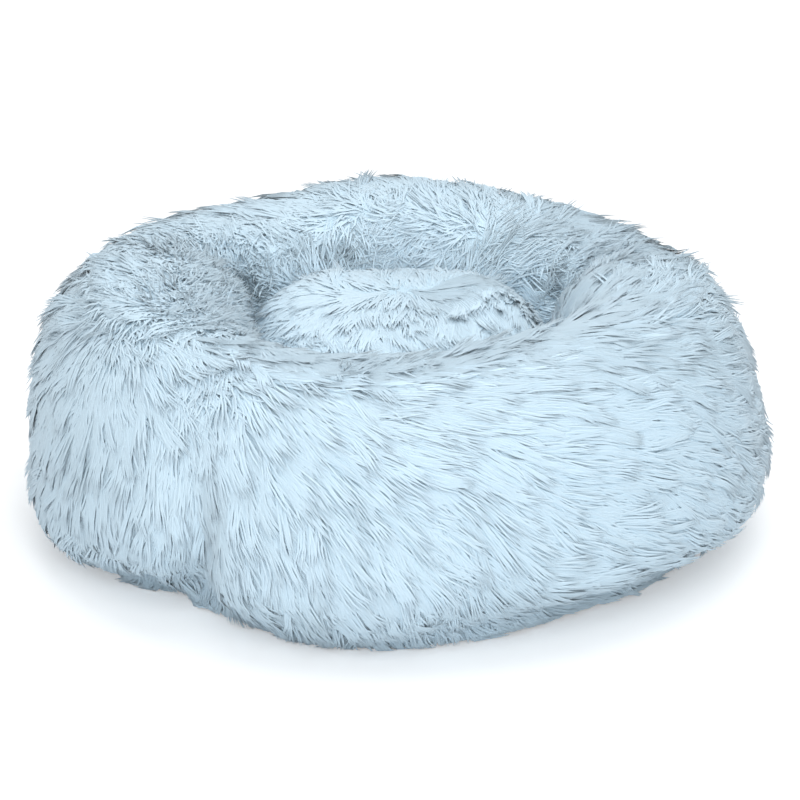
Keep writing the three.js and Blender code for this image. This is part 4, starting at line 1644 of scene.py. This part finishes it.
# %% [markdown]
# ## Covers and stuffing
# Under the pile each panel of the ring is a closed shell of knitted backing cloth, a millimetre
# and a half thick. It has the skin for its outer side, and stops a hair short of the cross
# seams, so that each panel is a piece of its own.

# %% Cover panels
CLOTH = 1.5 * MM
SEAM_SHARE = 0.12


def inner_skin(grid, depth):
    """The same grid a little way inside the skin."""
    mesh = bpy.data.meshes.new("inner")
    turns, size, _ = grid.shape
    mesh.from_pydata(grid.reshape(-1, 3).tolist(), [], grid_faces(turns, size - 1))
    mesh.update()
    _, normals = mesh_arrays(mesh)
    bpy.data.meshes.remove(mesh)
    return grid - normals.reshape(grid.shape) * depth


def panel_shell(grid, inner, first, turns):
    """Closed shell of cloth over some turns of the ring, drawn back a hair from its seams."""
    total = grid.shape[0]
    columns = [(first + i) % total for i in range(turns + 1)]
    outer_part = grid[columns].copy()
    inner_part = inner[columns].copy()
    for part in (outer_part, inner_part):
        part[0] += (part[1] - part[0]) * SEAM_SHARE
        part[-1] += (part[-2] - part[-1]) * SEAM_SHARE
    size = grid.shape[1]
    count = (turns + 1) * size
    points = np.concatenate([outer_part.reshape(-1, 3), inner_part.reshape(-1, 3)])
    faces = []
    for i in range(turns):
        for j in range(size - 1):
            a, b, c, d = i * size + j, (i + 1) * size + j, (i + 1) * size + j + 1, i * size + j + 1
            faces.append((a, b, c, d))
            faces.append((count + d, count + c, count + b, count + a))
        foot, top = i * size, i * size + size - 1
        faces.append((foot, count + foot, count + foot + size, foot + size))
        faces.append((top, top + size, count + top + size, count + top))
    for j in range(size - 1):
        faces.append((j, j + 1, count + j + 1, count + j))
        last = turns * size + j
        faces.append((last, count + last, count + last + 1, last + 1))
    return points, faces


def solid_object(name, points, faces, material, nodes, smooth=True):
    """Mesh object that rides on the bed, wears a material and replaces CAD nodes."""
    mesh = bpy.data.meshes.new(name)
    mesh.from_pydata([tuple(point) for point in points], [], faces)
    mesh.materials.append(material)
    mesh.update()
    made = bpy.data.objects.new(name, mesh)
    scene.collection.objects.link(made)
    for polygon in mesh.polygons:
        polygon.use_smooth = smooth
    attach(made, BODY)
    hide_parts(*nodes)
    return made


cover_points = ring_points[::2, ::2]
cover_inner = inner_skin(cover_points, CLOTH)
cover_turns = PANEL_TURNS // 2
for panel, place in enumerate(PANELS):
    points, faces = panel_shell(cover_points, cover_inner, panel * cover_turns, cover_turns)
    cover = solid_object(f"ring_cover_{place}", points, faces, backing,
                         [f"bolster_cover_{place}"])
    print(cover.name, len(faces), "faces")


# %% Cushion cover
def closed_dome(outer, inner):
    """Closed shell of cloth over the cushion, with a fan over each pole and a hem."""
    turns, size, _ = outer.shape
    count = turns * size
    points = np.concatenate([outer.reshape(-1, 3), inner.reshape(-1, 3),
                             outer[:, -1].mean(0)[None], inner[:, -1].mean(0)[None]])
    faces = []
    for i in range(turns):
        k = (i + 1) % turns
        for j in range(size - 1):
            a, b, c, d = i * size + j, k * size + j, k * size + j + 1, i * size + j + 1
            faces.append((a, b, c, d))
            faces.append((count + d, count + c, count + b, count + a))
        faces.append((i * size, count + i * size, count + k * size, k * size))
        top, next_top = i * size + size - 1, k * size + size - 1
        faces.append((top, next_top, 2 * count))
        faces.append((count + next_top, count + top, 2 * count + 1))
    return points, faces


dome_points = cushion_points[::2, ::2]
points, faces = closed_dome(dome_points, inner_skin(dome_points, CLOTH))
cushion_shell = solid_object("cushion_shell", points, faces, backing, ["cushion_cover"])
print(cushion_shell.name, len(faces), "faces")

# %% [markdown]
# Inside each cover lies the fibre that fills it. Stuffing pushes outwards until the cloth holds
# it back, so both cores are swollen by a short cloth simulation with pressure in it. Where a
# gather cuts deep, the core is drawn in under the cover.

# %% Fibre cores
CORE_GAP = 8 * MM
CORE_VOXEL = 6 * MM
CORE_SWELL = 4 * MM
CORE_PRESSURE = 4.0
CORE_FRAMES = 20
CORE_COVER = 4 * MM


def ring_core():
    """Closed ring of fibre a little inside the cover."""
    grid = inner_skin(ring_points, CORE_GAP)[::2, ::2]
    floor_level = foot_level + CORE_GAP
    grid[:, :, 2] = np.maximum(grid[:, :, 2], floor_level)
    turns, size, _ = grid.shape
    faces = grid_faces(turns, size - 1)
    for i in range(turns):
        k = (i + 1) % turns
        faces.append((i * size + size - 1, k * size + size - 1, k * size, i * size))
    return grid.reshape(-1, 3), faces


def cushion_core():
    """Closed lens of fibre a little inside the cushion's cover."""
    grid = inner_skin(cushion_points, CORE_GAP)[::2, ::2]
    turns, size, _ = grid.shape
    count = turns * size
    faces = grid_faces(turns, size - 1)
    poles = [grid[:, -1].mean(0)[None], grid[:, 0].mean(0)[None]]
    points = np.concatenate([grid.reshape(-1, 3)] + poles)
    for i in range(turns):
        k = (i + 1) % turns
        faces.append((i * size + size - 1, k * size + size - 1, count))
        faces.append((k * size, i * size, count + 1))
    return points, faces


def swollen(made):
    """Remeshes a core, lets pressure swell it as cloth, and keeps each point near its start."""
    bpy.context.view_layer.objects.active = made
    remesh = made.modifiers.new("remesh", "REMESH")
    remesh.mode = "VOXEL"
    remesh.voxel_size = CORE_VOXEL
    bpy.ops.object.modifier_apply(modifier=remesh.name)
    before = np.zeros(len(made.data.vertices) * 3)
    made.data.vertices.foreach_get("co", before)
    cloth = made.modifiers.new("cloth", "CLOTH")
    cloth.settings.use_pressure = True
    cloth.settings.uniform_pressure_force = CORE_PRESSURE
    cloth.settings.effector_weights.gravity = 0
    scene.frame_start = 1
    for frame_number in range(1, CORE_FRAMES + 1):
        scene.frame_set(frame_number)
    posed = made.evaluated_get(bpy.context.evaluated_depsgraph_get())
    after = np.zeros(len(made.data.vertices) * 3)
    posed.data.vertices.foreach_get("co", after)
    made.modifiers.remove(cloth)
    scene.frame_set(1)
    move = (after - before).reshape(-1, 3)
    reach = np.linalg.norm(move, axis=1, keepdims=True)
    move *= np.minimum(1, CORE_SWELL / np.maximum(reach, 1e-9))
    made.data.vertices.foreach_set("co", (before.reshape(-1, 3) + move).ravel())
    made.data.update()
    print(made.name, "swelled by up to", round(float(min(reach.max(), CORE_SWELL)) / MM, 2), "mm")


def kept_inside(made, tree):
    """Draws in each point that lies too near the outside of a skin, as where a gather cuts deep."""
    moved = 0
    for vertex in made.data.vertices:
        place, normal, _, _ = tree.find_nearest(vertex.co)
        depth = (place - vertex.co).dot(normal)
        if depth < CORE_COVER:
            vertex.co = place - normal * CORE_COVER
            moved += 1
    made.data.update()
    print(made.name, "drew in", moved, "points")


CORES = (
    ("ring_fibre", ring_core, "ring", "bolster_fill"),
    ("cushion_fibre", cushion_core, "cushion", "cushion_fill"),
)
for name, build, skin, node in CORES:
    points, faces = build()
    core = solid_object(name, points, faces, fibre_fill, [node])
    swollen(core)
    kept_inside(core, skin_trees[skin])
    for polygon in core.data.polygons:
        polygon.use_smooth = True
    print(core.name, len(core.data.polygons), "faces")

# %% [markdown]
# ## Base and zip
# The base is never seen in the photograph. Its back half, the zip's tapes, stops, slider and
# puller, and the label keep their CAD solids. What repeats on them, the dots, the coils' teeth
# and the stitches, is one small rounded shape that a second Geometry Nodes tree sets on a list
# of places.


# %% A tree that repeats a small rounded shape
SIZE_SPREAD = (0.97, 1.03)


def repeat_tree():
    """Puts one rounded shape on every vertex, turned about Z by the vertex's own angle."""
    t = Tree("repeat", [
        ("Places", "NodeSocketGeometry"), ("Size", "NodeSocketVector"), ("Seed", "NodeSocketInt"),
        ("Material", "NodeSocketMaterial"),
    ])
    give = t.inputs
    ball = t.node("GeometryNodeMeshUVSphere", {"Segments": 8, "Rings": 4, "Radius": 1.0})
    size = t.vector("SCALE", give["Size"], t.chance(give["Seed"], *SIZE_SPREAD))
    angle = t.node("ShaderNodeCombineXYZ", {"Z": t.read("turn")})
    values = {"Points": give["Places"], "Instance": ball, "Rotation": angle, "Scale": size}
    placed = t.node("GeometryNodeInstanceOnPoints", values)
    placed = t.node("GeometryNodeRealizeInstances", {"Geometry": placed})
    placed = t.node("GeometryNodeSetShadeSmooth", {"Geometry": placed})
    placed = t.node("GeometryNodeSetMaterial", {"Geometry": placed, "Material": give["Material"]})
    t.tree.links.new(placed, t.result)
    return t


repeat_nodes = repeat_tree()
print("repeating tree", len(repeat_nodes.tree.nodes), "nodes")


def repeated(name, places, size, material, seed):
    """Plain mesh of one small shape at every place; a place is x, y, z and a turn about Z."""
    mesh = bpy.data.meshes.new(name + "_places")
    mesh.from_pydata([place[:3] for place in places], [], [])
    store(mesh, "turn", "FLOAT", [place[3] for place in places])
    grower = bpy.data.objects.new(name + "_grower", mesh)
    scene.collection.objects.link(grower)
    modifier = grower.modifiers.new("repeat", "NODES")
    modifier.node_group = repeat_nodes.tree
    for label, value in {"Size": size, "Seed": seed, "Material": material}.items():
        modifier[repeat_nodes.identifiers[label]] = value
    grown = grower.evaluated_get(bpy.context.evaluated_depsgraph_get())
    grown_mesh = bpy.data.meshes.new_from_object(grown)
    grown_mesh.name = name
    bpy.data.objects.remove(grower)
    if "turn" in grown_mesh.attributes:
        grown_mesh.attributes.remove(grown_mesh.attributes["turn"])
    made = bpy.data.objects.new(name, grown_mesh)
    scene.collection.objects.link(made)
    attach(made, BODY)
    print(name, len(places), "places,", len(grown_mesh.polygons), "faces")
    return made


# %% Dressing the CAD pieces
DRESSED = (
    # CAD node, material, slot
    ("base_panel_back", base_cloth, "base_cloth"),
    ("zip_tape_back", tape_cloth, "tape_cloth"),
    ("zip_tape_front", tape_cloth, "tape_cloth"),
    ("zip_top_stop_back", nickel, "nickel"),
    ("zip_top_stop_front", nickel, "nickel"),
    ("zip_bottom_stop", nickel, "nickel"),
    ("zip_slider", nickel, "nickel"),
    ("zip_puller", nickel, "nickel"),
    ("care_label", satin, "satin"),
)
for name, material, slot in DRESSED:
    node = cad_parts[name]
    node.data.materials.clear()
    node.data.materials.append(material)
print("dressed", len(DRESSED), "CAD nodes")

# %% [markdown]
# The hem is gathered in at the front, so the front half of the base is a sheet cut to follow
# it, in place of the CAD's half. It takes its levels from the back half, and its big dots
# stand where the CAD's front half has them.

# %% Front half of the base
SLOT_HALF = 6.5 * MM
BASE_CLOTH = 0.8 * MM
BASE_TURNS = 120
STUD_RADIUS = 3.5 * MM
STUD_HALF_HEIGHT = 1.25 * MM
STUD_SPREAD = 8 * MM
# Middle of a dot above its lowest point, as a share of its half height: the rest is room for
# the sizes that the repeating tree varies
STUD_ROOM = 1.04
# A corner of the CAD's base this near its lowest level belongs to a dot
DOT_FACE = 0.2 * MM
panel_low, panel_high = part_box("base_panel_back")
slot_edge = panel_low.y
dot_floor = panel_low.z
slot_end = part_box("zip_tape_front")[1].x


def front_outline():
    """Corners of the front half, from the slot round the hem and back."""
    corners = [(-slot_end, -SLOT_HALF), (-slot_end, -slot_edge)]
    for i in range(BASE_TURNS + 1):
        azimuth = 180 + 180 * i / BASE_TURNS
        reach = hem_reach(azimuth)
        y = min(-slot_edge, reach * math.sin(math.radians(azimuth)))
        corners.append((reach * math.cos(math.radians(azimuth)), y))
    return corners + [(slot_end, -slot_edge), (slot_end, -SLOT_HALF)]


def flat_sheet(corners, low, high):
    """Closed flat solid over an outline that runs anticlockwise."""
    count = len(corners)
    points = [(x, y, z) for z in (low, high) for x, y in corners]
    faces = [tuple(reversed(range(count))), tuple(range(count, 2 * count))]
    for i in range(count):
        k = (i + 1) % count
        faces.append((i, k, count + k, count + i))
    return points, faces


def stud_places():
    """Middles of the CAD's dots on the front half that still lie inside the hem."""
    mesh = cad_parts["base_panel_front"].data
    groups = []
    for vertex in mesh.vertices:
        if vertex.co.z > dot_floor + DOT_FACE:
            continue
        near = [group for group in groups if (group[0] - vertex.co).length < STUD_SPREAD]
        if near:
            near[0].append(vertex.co.copy())
        else:
            groups.append([vertex.co.copy()])
    places = []
    for group in groups:
        middle = sum(group, Vector()) / len(group)
        reach = hem_reach(math.degrees(math.atan2(middle.y, middle.x)))
        if middle.xy.length < reach - 2 * STUD_RADIUS:
            places.append((middle.x, middle.y, dot_floor + STUD_HALF_HEIGHT * STUD_ROOM, 0.0))
    return places


points, faces = flat_sheet(front_outline(), panel_high.z - BASE_CLOTH, panel_high.z)
base_front = solid_object("base_cloth_front", points, faces, base_cloth,
                          ["base_panel_front"], smooth=False)
stud_size = (STUD_RADIUS, STUD_RADIUS, STUD_HALF_HEIGHT)
studs = repeated("base_studs_front", stud_places(), stud_size, dot_rubber, seed=61)
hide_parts("base_panel_front")

# %% [markdown]

# %% [markdown]
# The CAD's moulded dots are coarse. Between them go fine ones in staggered rows, which stand
# less high, so that the bed still rests on the CAD's dots.

# %% Moulded dots
FINE_PITCH = 11 * MM
FINE_RADIUS = 1.7 * MM
FINE_HALF_HEIGHT = 1.12 * MM
FINE_MARGIN = 7 * MM
FINE_ROOM = 1.05
CAD_DOT_CLEARANCE = 6 * MM


def cad_dot_corners(name):
    """Corners of the CAD's own dots, which stand lowest on the base."""
    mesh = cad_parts[name].data
    return [v.co.xy.copy() for v in mesh.vertices if v.co.z < dot_floor + DOT_FACE]


def fine_dots(name, side):
    """Places of fine dots in staggered rows on one half of the base."""
    taken = cad_dot_corners(name)
    row_pitch = FINE_PITCH * math.sin(math.pi / 3)
    rows = int(base_radius / row_pitch)
    places = []
    for row in range(rows):
        y = slot_edge + FINE_MARGIN + row * row_pitch
        shift = FINE_PITCH / 2 * (row % 2)
        for step in range(-rows - 2, rows + 3):
            x = step * FINE_PITCH + shift
            spot = Vector((x, y * side))
            clear = all((spot - other).length > CAD_DOT_CLEARANCE for other in taken)
            reach = hem_reach(math.degrees(math.atan2(y * side, x)))
            if math.hypot(x, y) < reach - FINE_MARGIN and clear:
                places.append((x, y * side, dot_floor + FINE_HALF_HEIGHT * FINE_ROOM, 0.0))
    return places


fine_size = (FINE_RADIUS, FINE_RADIUS, FINE_HALF_HEIGHT)
for place, side in (("back", 1), ("front", -1)):
    places = fine_dots(f"base_panel_{place}", side)
    repeated(f"base_dots_{place}", places, fine_size, dot_rubber, seed=31)

# %% [markdown]
# A zip's coil is a plastic thread wound round a cord. Seen from under the bed it is a row of
# close rounded teeth, so each coil is that: a straight cord with teeth set along it.

# %% Coil teeth
TOOTH_PITCH = 1.5 * MM
TOOTH_SHARE = 0.42
CORD_SIDES = 8
CORD_RADIUS = 0.45 * MM


def cord_mesh(start, stop, y, z):
    """Points and faces of a closed straight cord along X."""
    points = []
    for x in (start, stop):
        for side in range(CORD_SIDES):
            angle = TAU * side / CORD_SIDES
            points.append((x, y + CORD_RADIUS * math.cos(angle), z + CORD_RADIUS * math.sin(angle)))
    faces = []
    for side in range(CORD_SIDES):
        after = (side + 1) % CORD_SIDES
        faces.append((side, CORD_SIDES + side, CORD_SIDES + after, after))
    faces.append(tuple(range(CORD_SIDES)))
    faces.append(tuple(reversed(range(CORD_SIDES, 2 * CORD_SIDES))))
    return points, faces


for place in ("back", "front"):
    low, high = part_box(f"zip_coil_{place}")
    middle = (low + high) / 2
    half_size = (high - low) / 2
    count = int((high.x - low.x) / TOOTH_PITCH)
    first = middle.x - TOOTH_PITCH * (count - 1) / 2
    places = [(first + TOOTH_PITCH * i, middle.y, middle.z, 0.0) for i in range(count)]
    tooth_size = (TOOTH_PITCH * TOOTH_SHARE, half_size.y, half_size.z)
    teeth = repeated(f"zip_teeth_{place}", places, tooth_size, coil_plastic, seed=41)
    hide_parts(f"zip_coil_{place}")
    points, faces = cord_mesh(low.x, high.x, middle.y, middle.z)
    solid_object(f"zip_cord_{place}", points, faces, coil_plastic, [f"zip_coil_{place}"])

# %% [markdown]
# One seam runs round the hem, and two rows hold the zip's tapes. Each stitch is a short flat
# bead of thread that lies along its seam.

# %% Stitches
STITCH_SIZE = (1.5 * MM, 0.32 * MM, 0.28 * MM)
STITCH_PITCH = 4.4 * MM
SEAM_INSET = 3.5 * MM
TAPE_SEAM_INSET = 2.2 * MM
# The base cloth's underside lies this far below the tape's
BASE_BELOW_TAPE = 1.1 * MM
tape_low, tape_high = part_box("zip_tape_back")
stitch_level = tape_low.z - BASE_BELOW_TAPE - STITCH_SIZE[2] / 2
stitch_turn = STITCH_PITCH / (base_radius - SEAM_INSET)
seam_places = []
for i in range(int(TAU / stitch_turn)):
    azimuth = i * stitch_turn
    seam_radius = hem_reach(math.degrees(azimuth)) - SEAM_INSET
    x = seam_radius * math.cos(azimuth)
    y = seam_radius * math.sin(azimuth)
    if abs(y) > slot_edge:
        seam_places.append((x, y, stitch_level, azimuth + math.pi / 2))
tape_end = tape_high.x - SEAM_INSET
for side in (-1, 1):
    y = side * (slot_edge + TAPE_SEAM_INSET)
    for i in range(int(2 * tape_end / STITCH_PITCH)):
        seam_places.append((-tape_end + i * STITCH_PITCH, y, stitch_level, 0.0))
repeated("base_stitches", seam_places, STITCH_SIZE, thread, seed=51)
